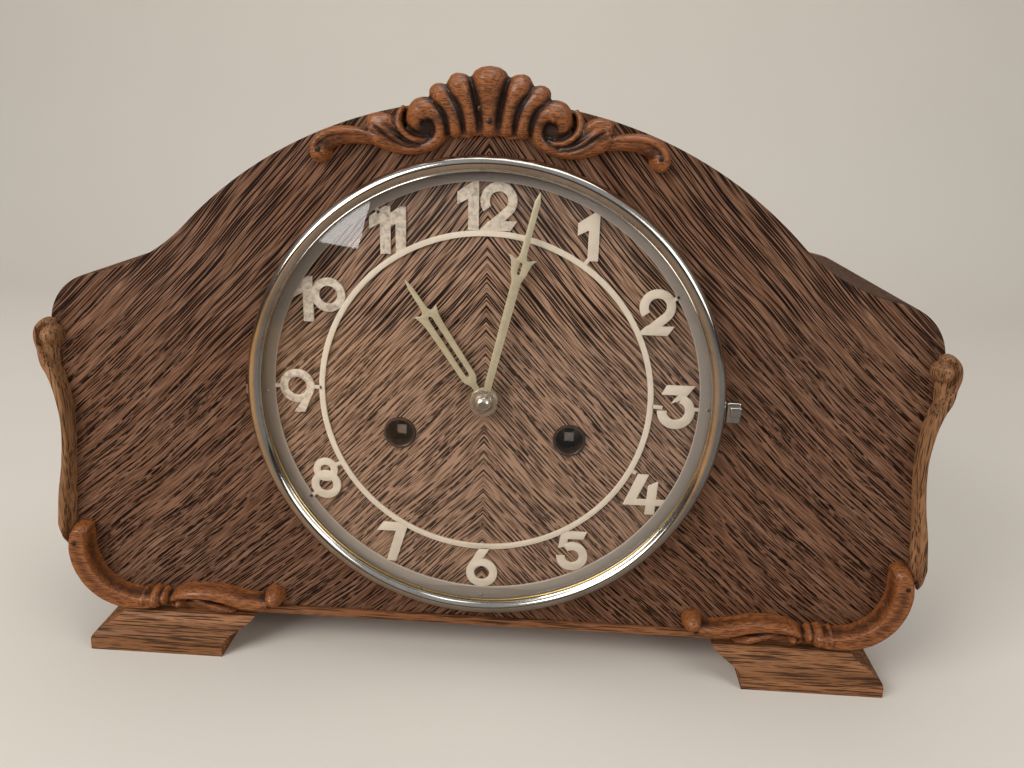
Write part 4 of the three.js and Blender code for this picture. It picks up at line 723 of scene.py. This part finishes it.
# The finish of each slot, and those of pieces that look different from the rest of their slot.
FINISHES = {
    "veneer": veneer_finish(),
    "oak": oak_finish("band_oak", (118, 84, 62), (84, 57, 40)),
    # carved wood: light and deep stain, then the painted shade of the hollows
    "carved_wood": carved_finish((144, 86, 44), (78, 38, 16), (34, 13, 5)),
    "plywood": plywood_finish((168, 130, 92), (136, 98, 64)),
    "silvered_dial": dial_finish(),
    "glass": Finish("glass", Base_Color=(1, 1, 1, 1), Roughness=0, IOR=1.45, Transmission_Weight=1).material}
FINISHES.update((name, metal_finish(name, *values)) for name, values in METALS.items())
NUT_NICKEL = metal_finish("nut_nickel", (222, 214, 200), (172, 156, 138), 0.22, 0.4, 3, 0.3)
FOOT_OAK = oak_finish("foot_oak", (172, 119, 80), (114, 75, 47), cover=0.7, gloss=0.42)
STRIP_OAK = oak_finish("strip_oak", (168, 121, 83), (120, 84, 57), turn=(0, 90, 0), length=18, cover=0.62)
BOARD_OAK = oak_finish("board_oak", (158, 106, 70), (118, 74, 46), gloss=0.5)

for part in frame["record"]["subparts"]:
    solid = frame["nodes"][part["node"]]
    solid.data.materials.clear()
    solid.data.materials.append(FINISHES[part["material_slot"]])


# Case and feet

def make_case():
    """Front board, bent wall, back board with its door, and base board."""
    tang = [(HINGE_X + x, z) for x, z in ((-0.7, -2.1), (0.7, -2.1), (0.7, 2.1), (-0.7, 2.1))]
    holes = [circle(0, 0, ARBOR_HOLE_RADIUS), circle(WIND_X, WIND_Z, KEYHOLE_RADIUS),
             circle(-WIND_X, WIND_Z, KEYHOLE_RADIUS), tang]
    panel = board("front_board", [case_outline()] + holes, 0, PANEL, edge=0.5)
    fit(panel, "veneer", "case", "front_panel")

    band = board("case_wall", [case_outline(), case_outline(BAND)], -PANEL, BACK - PANEL - BACK_BOARD)
    fit(band, "oak", "case", "case_band")

    back = board("back_board", [case_outline(), door_outline(DOOR_GAP)], BACK_BOARD - BACK, BACK_BOARD, edge=0.4)
    fit(back, "plywood", "case", "back_panel")

    door = board("rear_door_board", [door_outline(0)], BACK_BOARD - BACK, BACK_BOARD, edge=0.8, rounds=3)
    fit(door, "plywood", "rear_door", "back_door")

    low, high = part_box("bottom_board")
    base = block("base_board", low, high, 0.7)
    fit(base, "oak", "case", "bottom_board", finish=BOARD_OAK)


def ogee(x, shift, top, steps=14):
    """A double curve that rises upright from x at the toe and ends upright, shifted, at the top."""
    rise = top - FOOT_TOE
    knots = ((x, FOOT_TOE), (x, FOOT_TOE + 0.6 * rise),
             (x + 0.72 * shift, FOOT_TOE + 0.5 * rise), (x + shift, top))
    line = []
    for t in (i / steps for i in range(steps + 1)):
        shares = ((1 - t) ** 3, 3 * t * (1 - t) ** 2, 3 * t * t * (1 - t), t ** 3)
        line.append(tuple(sum(share * knot[axis] for share, knot in zip(shares, knots)) for axis in (0, 1)))
    return line


def make_feet():
    """Runners sawn to leaning ends, with the flared front cut across them."""
    low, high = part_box("foot_right")
    inner, outer = low.x / MM + FOOT_LEAN, high.x / MM
    front, back = low.y / MM, high.y / MM
    top = high.z / MM
    floor = DIAL_Z / MM
    side = ([(outer, 0)] + ogee(outer, -FOOT_LEAN, top)
            + ogee(inner, -FOOT_LEAN, top)[::-1] + [(inner, 0)])
    foot = board("foot_block_right", [[(x, z - floor) for x, z in side]], FACE_Y / MM - front, back - front)
    face = ogee(front, FOOT_FLARE, top)
    face += [(front + FOOT_FLARE, top + 2), (front - 3, top + 2), (front - 3, FOOT_TOE)]
    middle = Vector(((inner + outer - FOOT_LEAN) / 2 * MM, 0, 0))
    cut_away(foot, board("waste", [face], 0, 90, turn=(90, 0, 90), place=middle))
    ease = foot.modifiers.new("ease", "BEVEL")
    ease.width = FOOT_EDGE * MM
    ease.segments = 3
    ease.limit_method = "ANGLE"
    ease.angle_limit = math.radians(40)
    apply_all(foot)
    fit_pair(smooth(weld(foot)), "oak", "foot", 35, FOOT_OAK)


# Carved ornaments

def mirrored(stations):
    """The same stations on the other side."""
    return [(-x, z, half) for x, z, half in stations]


def make_crest():
    """A shell of five lobes; on each side a volute, a leaf that springs from it and a tail."""
    lobes = [
        ([(6.8, 107.8, 0.4), (6.8, 108.5, 2), (6.9, 110.2, 3.1), (7.2, 113.8, 3.8), (8.8, 120.4, 4.7),
          (10.6, 124.6, 5.4), (11.9, 127.2, 5.4), (12.6, 129.4, 4.1), (13, 130.8, 2.4),
          (13.1, 131.4, 0.4)], 8.4),
        ([(13.1, 107.2, 0.4), (13.1, 107.9, 2), (13.1, 109.6, 3.1), (13.3, 112.4, 3.7), (15, 118.4, 4.4),
          (17.4, 121.6, 4.8), (19.4, 123.4, 4.7), (21.2, 125, 3.5), (22.3, 126, 2),
          (22.7, 126.4, 0.4)], 7.6)]
    scroll = [
        ([(31, 103, 1.8), (26, 103.6, 2.3), (21.4, 105.8, 2.7), (19.2, 109.6, 3), (19.7, 113.8, 3.6),
          (22.6, 117, 4.7), (26.6, 116.8, 5.3), (28.3, 113.6, 4.3), (27.2, 111, 2.9), (25.2, 110.4, 2),
          (24, 111.4, 1.2)], 8.8),
        ([(33.2, 118.8, 1), (35.2, 115.2, 1.6), (34.8, 110.9, 1.9), (31.4, 107.5, 1.9), (26.6, 106.2, 1.7),
          (23, 107.4, 1.2)], 5.6)]
    leaf = [
        ([(34.4, 106.8, 1.2), (37.2, 110.4, 1.9), (39.4, 113, 2.3), (42.8, 114.3, 1.9), (46.8, 113.8, 1.4),
          (48.2, 113.2, 0.8)], 6.2),
        ([(27, 103.8, 1), (32.4, 104.7, 1.4), (37.2, 107.2, 1.7), (41.4, 110.6, 1.8), (44.8, 112.2, 1.5),
          (47.8, 112, 1)], 6.6),
        ([(24.4, 103.2, 1), (30, 102.4, 1.3), (36.6, 104.1, 1.6), (42, 107.6, 1.8), (46, 110.2, 1.6),
          (48.2, 110.6, 1)], 6.3),
        ([(33.5, 106, 2.2), (37.4, 109.4, 3.6), (41.4, 111.6, 4.3), (45.6, 112.4, 3.6),
          (47.6, 112.2, 2.7)], 6),
        ([(24, 103.4, 1.8), (31, 102.8, 2.5), (37.6, 104.2, 3.2), (43.6, 106.8, 3.8),
          (47.4, 108.8, 3.2)], 5.8)]
    tail = [(46, 106.2, 2.4), (49.4, 106.8, 2.9), (54, 107.2, 3.2), (59.6, 106.9, 3.6), (64.2, 104.9, 3.8),
            (66.9, 101.8, 4), (67, 99.4, 3.8), (66.8, 97.8, 2.8), (66.7, 96.8, 0.6)]
    rim = [(45, 107.6, 1), (49.6, 108.5, 1.5), (54.6, 109, 1.8), (60.4, 108.7, 2), (65, 107, 2.1),
           (68.2, 103.8, 2.1), (69, 100.4, 2), (68, 98.2, 1.8), (66.4, 97.6, 1.4)]
    bed = [(7, 110, 3), (13, 111, 3.4), (20, 112.5, 4), (27, 112, 6), (32, 111, 4.6)]
    pieces = [strand([(0, 107.6, 0.4), (0, 108.3, 2.3), (0, 110, 3.5), (0, 114, 4.4), (0, 120, 5.7),
                      (0, 126, 7.2), (0, 129.6, 7.5), (0, 132.1, 6.2), (0, 133.6, 3.8), (0, 134.2, 0.4)], 9.6),
              strand([(-8, 112, 4), (0, 113, 4.6), (8, 112, 4)], 3.6),
              strand([(-18, 120, 4), (-9, 124, 5), (0, 127, 5.4), (9, 124, 5), (18, 120, 4)], 3.8)]
    for stations, top in lobes + scroll + leaf + [(bed, 4)]:
        pieces += [strand(stations, top), strand(mirrored(stations), top)]
    for side in (-1, 1):
        tail_line, rim_line = (line if side > 0 else mirrored(line) for line in (tail, rim))
        pieces += [strand(tail_line, 6.4), strand(rim_line, 7.4), bead(side * 66.8, 100.8, 4.3, 7.6)]
    return fit(carving("crest_relief", pieces, grain=0.42), "carved_wood", "case", "crest_carving")


def make_side_mouldings():
    """Slender strips along the case's edge, hooked round a ball above and pointed below."""
    body = [(192.4, 13.5, 2.3), (191, 9, 2.7), (188.4, 3, 2.8), (186.5, -8, 2.6), (186.2, -20, 2.4),
            (188.2, -38, 2.5), (191.2, -54, 2.8), (193.3, -68, 2.8), (194.5, -76, 1.6), (194.8, -80.6, 0.5)]
    root = [(186.6, -30, 1.8), (189, -46, 2.2), (190.8, -60, 2.6), (191.8, -72, 2.2), (192.6, -79, 0.8)]
    curl = [(190.8, 8, 2.4), (193, 14.6, 1.9), (194, 20.4, 1.8), (192.6, 24.6, 1.7), (189.2, 26.6, 1.6),
            (186.2, 26, 1.2)]
    web = [(188.6, 22, 3.6), (189.4, 16, 3.4), (189.2, 10, 2.6), (188.6, 5, 1.6)]
    right = carving("side_strip_right", [
        strand(body, 8.4, level=7), strand(root, 4.4), strand(curl, 7.6), strand(web, 4.6),
        bead(187.7, 21, 4.5, 9.2)], grain=0.4)
    fit_pair(right, "oak", "side_moulding", 70, STRIP_OAK)


def make_corner_carvings():
    """A flat-faced scroll round the corner, a ringed knuckle, a curled leaf with a frond, and a ball."""
    scroll = [(185, -69, 1), (185.2, -70.2, 3.7), (185.8, -73.2, 4.8), (186.4, -79.6, 5),
              (184.8, -89.2, 5.1), (179.2, -98.8, 5), (170.8, -104.4, 4.7), (161.6, -106.2, 4.4),
              (155, -106, 4.2), (152, -105.8, 1)]
    outer = [(189.8, -75.6, 1.3), (190.2, -81.6, 1.4), (187.6, -92.2, 1.5), (181, -101.6, 1.5),
             (171.8, -107.4, 1.4), (161.6, -109.2, 1.2)]
    nub = [(181.8, -71.8, 2.6), (185, -70.8, 3.2), (188.4, -71.8, 2.6)]
    leaf = [(98, -103.8, 3), (106, -105, 3.7), (114, -103.9, 3.8), (122, -101.8, 3.7), (130, -101, 3.6),
            (138, -101.8, 3.4), (144, -104.2, 2.7), (146.4, -107.2, 2.1), (144, -109.4, 1.7),
            (141.6, -108.2, 1.4)]
    frond = [(137, -102.8, 2.4), (129.6, -105.9, 2.8), (123, -108.6, 2.8), (117.4, -111, 1.6),
             (115.4, -111.9, 0.5)]
    pieces = [
        strand(scroll, 13, level=9), strand(outer, 9.3, lift=3), strand(nub, 9.3),
        strand(leaf, 9.6, level=8.4), strand(frond, 7.6), bead(153.4, -105.4, 5.2, 10.4, 0.66),
        bead(158.6, -106, 5.3, 10, 0.34), bead(149.2, -104.8, 4, 8.6, 0.55),
        bead(142.8, -107.8, 2.4, 7), bead(97, -102, 4.8, 9.6)]
    low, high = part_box("bottom_board")
    seat_low = (low.x - MM, low.y - 0.3 * MM, low.z - 9 * MM)
    seat_high = (high.x + MM, FACE_Y + 9 * MM, high.z + 0.3 * MM)
    seat = block("seat_cut", seat_low, seat_high, 0.05, 1)
    right = carving("corner_relief_right", pieces, grain=0.42, soften=2, seat=seat)
    return fit_pair(right, "carved_wood", "corner_carving", 70)


def make_nails(crest, corners):
    """Small nails that hold the carvings, set on their surface."""
    right, left = corners
    places = [(crest, -3.1, 118.6), (crest, 0.4, 114), (crest, 66.7, 101.8), (crest, -66.7, 101.8),
              (right, 187.4, -76.4), (left, -187.4, -76.4), (right, 98.4, -104.6), (left, -98.4, -104.6)]
    first = turned("nail_head", [(0, 0.45), (0.65, 0.38), (1.12, 0.14), (1.2, -0.8), (0, -0.8)], steps=24)
    nails = []
    for carved, x, z in places:
        found, where, _, _ = carved.ray_cast(spot(x, z, 30), Vector((0, 1, 0)))
        if not found:
            continue
        pick(first)
        bpy.ops.object.duplicate(linked=False)
        nail = bpy.context.object
        nail.location = where - spot(0, 0)
        nails.append(settle(nail))
    bpy.data.objects.remove(first)
    fit(smooth(together("carving_nails", nails)), "dark_steel", "case")


# Dial: strokes of the numerals, each an outline with its holes

def hook(x, z, outer, inner, start, end):
    return arc(x, z, outer, start, end, 40) + arc(x, z, inner, end, start, 40)


def ring(x, z, outer, inner):
    return [circle(x, z, outer, 56), circle(x, z, inner, 48)]


def one(x):
    top = NUMERAL_HEIGHT
    return [[(x, 10), (x, 15), (x + 6.4, top), (x + 8.7, top), (x + 8.7, 0), (x + 4.4, 0), (x + 4.4, 12.3)]]


def two(x):
    bowl_x, bowl_z = x + 7.8, 11.9
    inside, outside = (round_at(-45, r, bowl_x, bowl_z) for r in (3.7, 7.4))
    return [
        [hook(bowl_x, bowl_z, 7.4, 3.7, -45, 215)],
        [[(x, 0), (x + 6, 0), outside, inside]],
        [[(x, 0), (x + 12.6, 0), (x + 15.2, 3.9), (x + 3.9, 3.9)]]]


# Width of each numeral, and its strokes.
NUMERALS = {
    1: (8.7, [one(0)]),
    2: (15.6, two(0)),
    3: (15.9, [[hook(8, 7.9, 7.9, 3.9, -180, 72)],
               [[(1.5, 15.2), (8.6, 15.2), (5.8, 11.4), (11, 13.4), (15.2, 19.3), (3.5, 19.3)]]]),
    4: (17, [[[(0, 4.3), (20.6, 4.3), (20.6, 7.1), (5.6, 7.1), (10.4, 18.8), (5.6, 18.8)]],
               [[(9.7, 0), (13.9, 0), (14.6, 15.7), (10.4, 13.6)]]]),
    5: (14.2, [[hook(7.1, 7, 7, 3.2, -180, 128)],
               [[(0.8, 10.9), (4.8, 12.2), (5, 15.7), (11.9, 15.7), (13.3, 19.3), (2, 19.3)]]]),
    6: (14.2, [ring(7.1, 7.1, 7.1, 3.5), [[(0.8, 10.2), (5.6, 11), (10.8, 19.9), (6.2, 19.9)]]]),
    7: (14.5, [[[(0, 15.2), (8.6, 15.2), (4.2, 0), (8.6, 0), (14.5, 19.3), (3, 19.3)]]]),
    8: (13.4, [ring(6.7, 6.7, 6.7, 3.2), ring(6.7, 13.8, 5.5, 2.3)]),
    9: (15, [ring(7.5, 11.8, 7.5, 4.1), [[(5.6, 0), (10.4, 0), (14.4, 9), (9.6, 5.6)]]]),
    10: (22, [one(0), ring(15.2, 11.7, 7.2, 3.8)]),
    11: (15.1, [one(0), one(6.4)]),
    12: (24.6, [one(0)] + two(8.9)),
}

# Short necks that tie a numeral to the rings.
TIES = [
    ((-4.8, 88), (-4.8, 92)), ((4.4, 88), (4.4, 92)), ((41.6, 62), (39.6, 59)), ((76, 45.6), (79, 47.6)),
    ((71, 0), (75.6, -0.4)), ((88, -0.6), (92, -0.6)), ((66.6, -31), (63.6, -29.6)), ((0, -89), (0, -92)),
    ((-67, -34.6), (-62.6, -32.4)), ((-74, -47), (-78, -50)), ((-74.4, 2), (-70.4, 2)), ((-86.6, 2), (-92, 2)),
    ((-44, 77), (-46.6, 81)), ((46, 79), (47.6, 81.6))]


def outside_ring(loop):
    """Keeps a numeral's line from reaching inside the inner ring."""
    kept = []
    for x, z in loop:
        grow = max(1, (RING_INNER + 0.2) / math.hypot(x, z))
        kept.append((x * grow, z * grow))
    return kept


def make_dial():
    """Pierced numeral ring, its pins, and the bushes of the keyholes."""
    strokes = [[circle(0, 0, BAND_OUTER, 180), circle(0, 0, BAND_INNER, 180)],
               [circle(0, 0, RING_OUTER, 160), circle(0, 0, RING_INNER, 160)]]
    for hour, (width, shapes) in NUMERALS.items():
        left, low = round_at(90 - 30 * hour, NUMERAL_RADIUS, -width / 2, -NUMERAL_HEIGHT / 2)
        for loops in shapes:
            strokes.append([outside_ring([(x + left, z + low) for x, z in loop]) for loop in loops])
    for (x0, z0), (x1, z1) in TIES:
        span = math.hypot(x1 - x0, z1 - z0)
        sx, sz = (z0 - z1) / span * TIE_HALF_WIDTH, (x1 - x0) / span * TIE_HALF_WIDTH
        strokes.append([[(x0 + sx, z0 + sz), (x0 - sx, z0 - sz), (x1 - sx, z1 - sz), (x1 + sx, z1 + sz)]])
    pieces = []
    for i, loops in enumerate(strokes):
        rise = DIAL_THICKNESS - 0.004 * (i % 6)  # no shared plane where strokes cross
        pieces.append(board("stroke", loops, rise, rise, edge=0.12, rounds=1))
    fit(smooth(together("dial_numbers", pieces), 30), "silvered_dial", "case", "chapter_ring")

    pins = []
    for angle in (90, 0, -90, -180):
        head = [(0, 1.42), (0.5, 1.34), (0.8, 1), (0.8, 0.5), (0, 0.5)]
        pins.append(turned("pin", head, *round_at(angle, PIN_RADIUS, z=-0.6), steps=20))
    fit(smooth(together("dial_pins", pins)), "steel", "case")

    for name, side in (("left", -1), ("right", 1)):
        bush = turned("keyhole_bush_" + name, [
            (5.8, -6), (5.8, 0.5), (5.95, 0.95), (6.3, 1.2), (6.75, 1.08), (7.05, 0.7), (7.15, 0.02), (6.3, 0.02),
            (6.3, -6), (5.8, -6)], side * WIND_X, WIND_Z, steps=64)
        fit(bush, "dark_steel", "case", "winding_grommet_" + name)


# Bezel and glass

def make_bezel():
    """Rim with its hinge knuckles, domed glass with its keeper, and opening tab."""
    crown = (BEZEL_RADIUS + BEZEL_INNER) / 2
    half = (BEZEL_RADIUS - BEZEL_INNER) / 2
    wall = BEZEL_RADIUS - 1.2
    section = [(BEZEL_RADIUS, BEZEL_BACK), (BEZEL_RADIUS, 4.6)]
    section += [(crown + half * math.cos(math.radians(a)), 5.4 + 4.0 * math.sin(math.radians(a)))
                for a in range(0, 150, 9)]
    section += [(BEZEL_INNER + 0.25, 7.9), (BEZEL_INNER, 7.7), (BEZEL_INNER, BEZEL_LIP), (wall, BEZEL_LIP),
                (wall, BEZEL_BACK), (BEZEL_RADIUS, BEZEL_BACK)]
    rim = turned("bezel_rim", section, steps=192, angle=40)
    knuckles = []
    for low in (2.3, -6.3):
        deselect()
        bpy.ops.mesh.primitive_cylinder_add(
            vertices=28, radius=1.1 * MM, depth=4.0 * MM, location=spot(HINGE_X, low + 2, 1.6))
        barrel = settle(bpy.context.object)
        ease_edges(barrel, 0.15, 2)
        strap_low, strap_high = spot(HINGE_X, low, 2.1), spot(-100.6, low + 4, 1.1)
        knuckles += [barrel, block("strap", strap_low, strap_high, 0.1, 1)]
    fit(rim, "chrome", "bezel_door", "bezel_ring")
    fit(smooth(together("bezel_knuckles", knuckles), 40), "dark_steel", "bezel_door")

    sphere = (GLASS_RADIUS ** 2 + GLASS_RISE ** 2) / (2 * GLASS_RISE)
    def dome(low, steps):
        return [(GLASS_RADIUS * t, low + GLASS_RISE - sphere + math.sqrt(sphere ** 2 - (GLASS_RADIUS * t) ** 2))
                for t in steps]
    share = [i / 24 for i in range(25)]
    glass = turned("dial_glass", dome(GLASS_FRONT, share) + dome(GLASS_BACK, share[::-1]), steps=160, angle=60)
    glass.visible_shadow = False
    fit(glass, "glass", "bezel_door", "bezel_glass")

    keeper = turned("glass_keeper", [
        (100, 3.65), (100, 4.35), (99.85, 4.5), (95.6, 4.5), (95.4, 4.3), (95.4, 3.8), (95.6, 3.6),
        (99.9, 3.6), (100, 3.65)], steps=160)
    fit(keeper, "brass", "bezel_door", "glass_retainer")

    low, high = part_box("bezel_tab")
    plate = block("tab_plate", (low.x, low.y + 1.0 * MM, low.z), (high.x, high.y, high.z), 0.9, 4)
    ridge = block("tab_ridge", (low.x + 1.4 * MM, low.y, DIAL_Z - 1.5 * MM),
                  (high.x, low.y + 2.0 * MM, DIAL_Z + 2.8 * MM), 0.6)
    fit(smooth(together("opening_tab", [plate, ridge]), 40), "chrome", "bezel_door", "bezel_tab")


# Hands

def hand(name, half, slot, hub, bore, angle, front):
    """A pierced blade, drawn by its right half, on an eye; turned from twelve o'clock by an angle."""
    turn = math.radians(angle)
    def swung(loop):
        return [(x * math.cos(turn) + r * math.sin(turn), r * math.cos(turn) - x * math.sin(turn))
                for x, r in loop]
    outline = half + [(-x, r) for x, r in reversed(half)]
    width, near, far = slot
    window = arc(0, far, width, 0, 180, 8) + arc(0, near, width, 180, 360, 8)
    blade = board(name, [swung(outline), swung(window)], front, HAND_THICKNESS, edge=0.12, rounds=1)
    eye = board("eye", [circle(0, 0, hub, 48), circle(0, 0, bore, 40)], front + 0.01, HAND_THICKNESS + 0.02,
                edge=0.12, rounds=1)
    return smooth(together(name, [blade, eye]), 30)


def make_hands():
    """Minute hand, hour hand and the nut that holds them."""
    minute = hand("minute_pointer", [
        (1.5, 3), (1.75, 30), (1.9, 53.4), (2.6, 55.4), (3.3, 57.2), (3.7, 59.4), (4.3, 61.6), (5.2, 63),
        (5.9, 63.7), (4.4, 63.5), (3, 62.7), (2.1, 62.9), (1.5, 64.2), (1.35, 66), (1.2, 85.4), (1.2, 86.2),
        (0.08, 90.3)], (0.6, 57, 61), 5.2, 2.58, MINUTE_ANGLE, 5.8)
    fit(minute, "gilt", "minute", "minute_hand")
    hour = hand("hour_pointer", [
        (1.3, 4), (1.35, 8.2), (2, 9.4), (2.9, 10.6), (3.25, 12), (3.5, 28), (3.75, 38), (4.1, 41.4),
        (4.7, 43.6), (5.4, 45.5), (4.3, 45.2), (3.2, 44.6), (2.1, 44.9), (1.4, 46), (1.2, 48), (0.95, 57),
        (0.08, 60.6)], (0.9, 13.4, 41.6), 5.8, 3.78, HOUR_ANGLE, 3.4)
    fit(hour, "gilt", "hour", "hour_hand")
    nut = turned("hand_nut_turned", [
        (1.6, 6.12), (5.7, 6.12), (5.9, 6.3), (5.9, 6.75), (5.7, 6.95), (4.7, 7), (4.5, 6.85), (4.2, 6.85),
        (4, 7.05), (3.75, 7.8), (3.1, 8.9), (2.3, 9.7), (1.75, 9.95), (1.6, 9.9), (1.6, 6.12)], steps=64)
    fit(nut, "gilt", "minute", "hand_nut", finish=NUT_NICKEL)


# Back and pendulum

def make_back():
    """The door's knob and the pendulum's lens-shaped bob."""
    low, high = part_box("door_knob")
    x = (low.x + high.x) / 2 / MM
    z = ((low.z + high.z) / 2 - DIAL_Z) / MM
    section = [(0, 0), (4.5, 0), (4.4, 0.8), (3.2, 2), (2.7, 3.6), (3, 5), (4.6, 6.2), (5.8, 7.4),
               (6, 8.4), (5.5, 9.7), (4.2, 10.6), (2.2, 10.95), (0, 11)]
    knob = turned("rear_knob", [(radius, -BACK - behind) for radius, behind in section], x, z, steps=48)
    fit(knob, "brass", "rear_door", "door_knob")

    low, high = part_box("pendulum_bob")
    middle = (low + high) / 2
    reach = (high.x - low.x) / 2 / MM
    front = (FACE_Y - low.y) / MM
    depth = (high.y - low.y) / MM
    lens = [(reach * math.sin(math.radians(a)), front - depth / 2 + depth / 2 * math.cos(math.radians(a)) ** 0.9)
            for a in range(0, 84, 7)]
    lens += [(reach, front - depth / 2 + 0.5), (reach, front - depth / 2 - 0.5)]
    lens += [(r, front - depth - (h - front)) for r, h in reversed(lens[:-2])]
    bob = turned("bob_lens", lens, middle.x / MM, (middle.z - DIAL_Z) / MM, steps=64)
    fit(bob, "brass", "pendulum", "pendulum_bob")


make_case()
make_feet()
crest = make_crest()
make_side_mouldings()
corners = make_corner_carvings()
make_nails(crest, corners)
make_dial()
make_bezel()
make_hands()
make_back()


# Stage, light and camera

def pick_edges(piece, wanted):
    """Selects the edges whose two ends are wanted."""
    deselect()
    for edge in piece.data.edges:
        edge.select = all(wanted(piece.data.vertices[end].co) for end in edge.vertices)
    pick(piece)
    bpy.ops.object.mode_set(mode="EDIT")


def make_stage():
    """A pale floor that sweeps up into a wall; in reflections it shows a painted table, warm left and grey right.
    """
    wall_y, wall_height, sweep = 1.2, 2.6, 0.5
    deselect()
    bpy.ops.mesh.primitive_plane_add(size=5, location=(0, wall_y - 2.5, 0))
    floor = settle(bpy.context.object)
    bpy.ops.object.mode_set(mode="EDIT")
    bpy.ops.mesh.select_mode(type="EDGE")
    bpy.ops.mesh.select_all(action="DESELECT")
    pick_edges(floor, lambda end: end.y > wall_y - 0.2)
    bpy.ops.mesh.extrude_region_move(TRANSFORM_OT_translate={"value": (0, 0, wall_height)})
    pick_edges(floor, lambda end: end.y > wall_y - 0.2 and end.z < 0.01)
    bpy.ops.mesh.bevel(offset=sweep, segments=12, affect="EDGES")
    bpy.ops.object.mode_set(mode="OBJECT")
    floor.name = floor.data.name = "floor_sweep"
    smooth(floor, 60)
    paper = Finish("floor_paper", Roughness=0.85, Specular_IOR_Level=0.2)
    tone = blend(cloud(paper.coords, 3, 3), colour(222, 214, 203), colour(228, 221, 211))
    # painted reflection: glossy rays see a table, warm on the left and grey on the right, in place of the pale
    # floor
    glossy = node(paper.tree, "ShaderNodeLightPath").outputs["Is Glossy Ray"]
    painted_table_reflection = blend(between(axes(paper.coords)[0], -0.35, 0.15), colour(176, 134, 88), colour(116, 114, 114))
    floor.data.materials.append(paper.give(Base_Color=blend(glossy, tone, painted_table_reflection)))


def lamp(name, place, size, power, tint):
    """A soft lamp, turned to the middle of the clock."""
    deselect()
    bpy.ops.object.light_add(type="AREA", location=place)
    made = bpy.context.object
    made.name = name
    made.data.shape = "RECTANGLE"
    made.data.size, made.data.size_y = size
    made.data.energy = power
    made.data.color = tint
    made.rotation_euler = (Vector((0, 0, 0.13)) - Vector(place)).to_track_quat("-Z", "Y").to_euler()


def make_light():
    """Three lamps and a pale room; reflections see the room darker below and bright above."""
    lamp("window_light", (-1, -1, 0.95), size=(0.9, 1.1), power=16, tint=(1, 0.985, 0.96))
    lamp("room_light", (1.2, -0.9, 0.7), size=(0.8, 0.8), power=5.5, tint=(1, 0.97, 0.91))
    lamp("top_light", (0.1, 0.1, 1.5), size=(1.2, 1), power=7, tint=(1, 1, 1))
    world = bpy.data.worlds.new("studio")
    bpy.context.scene.world = world
    world.use_nodes = True
    tree = world.node_tree
    sky = tree.nodes["Background"].inputs
    path = node(tree, "ShaderNodeLightPath").outputs
    glossy, seen = path["Is Glossy Ray"], path["Is Camera Ray"]
    feed(sky["Strength"], between(seen, 0, 1, 0.38, 1))
    height = axes(node(tree, "ShaderNodeTexCoord").outputs["Generated"])[2]
    room = blend(between(height, 0.1, 0.45), colour(74, 64, 58), colour(236, 236, 236))
    light = blend(glossy, colour(214, 216, 218), room)
    feed(sky["Color"], blend(seen, light, colour(200, 192, 181)))


def make_camera():
    """The photo's view, fitted to points of the clock."""
    view = bpy.data.cameras.new("photo_view")
    view.sensor_width = 36.0
    view.lens = 30.234
    view.clip_start = 0.01
    eye = bpy.data.objects.new("photo_view", view)
    bpy.context.scene.collection.objects.link(eye)
    across = Vector((0.99758776, 0.06432821, 0.02608723))
    up = Vector((-0.04438434, 0.30214207, 0.95222907))
    back = Vector((0.05337314, -0.95108993, 0.3042684))
    turn = Matrix((across, up, back)).transposed().to_4x4()
    eye.matrix_world = Matrix.Translation((0.031117, -0.410059, 0.246596)) @ turn
    bpy.context.scene.camera = eye


make_stage()
make_light()
make_camera()

bpy.context.scene.view_settings.view_transform = "Standard"
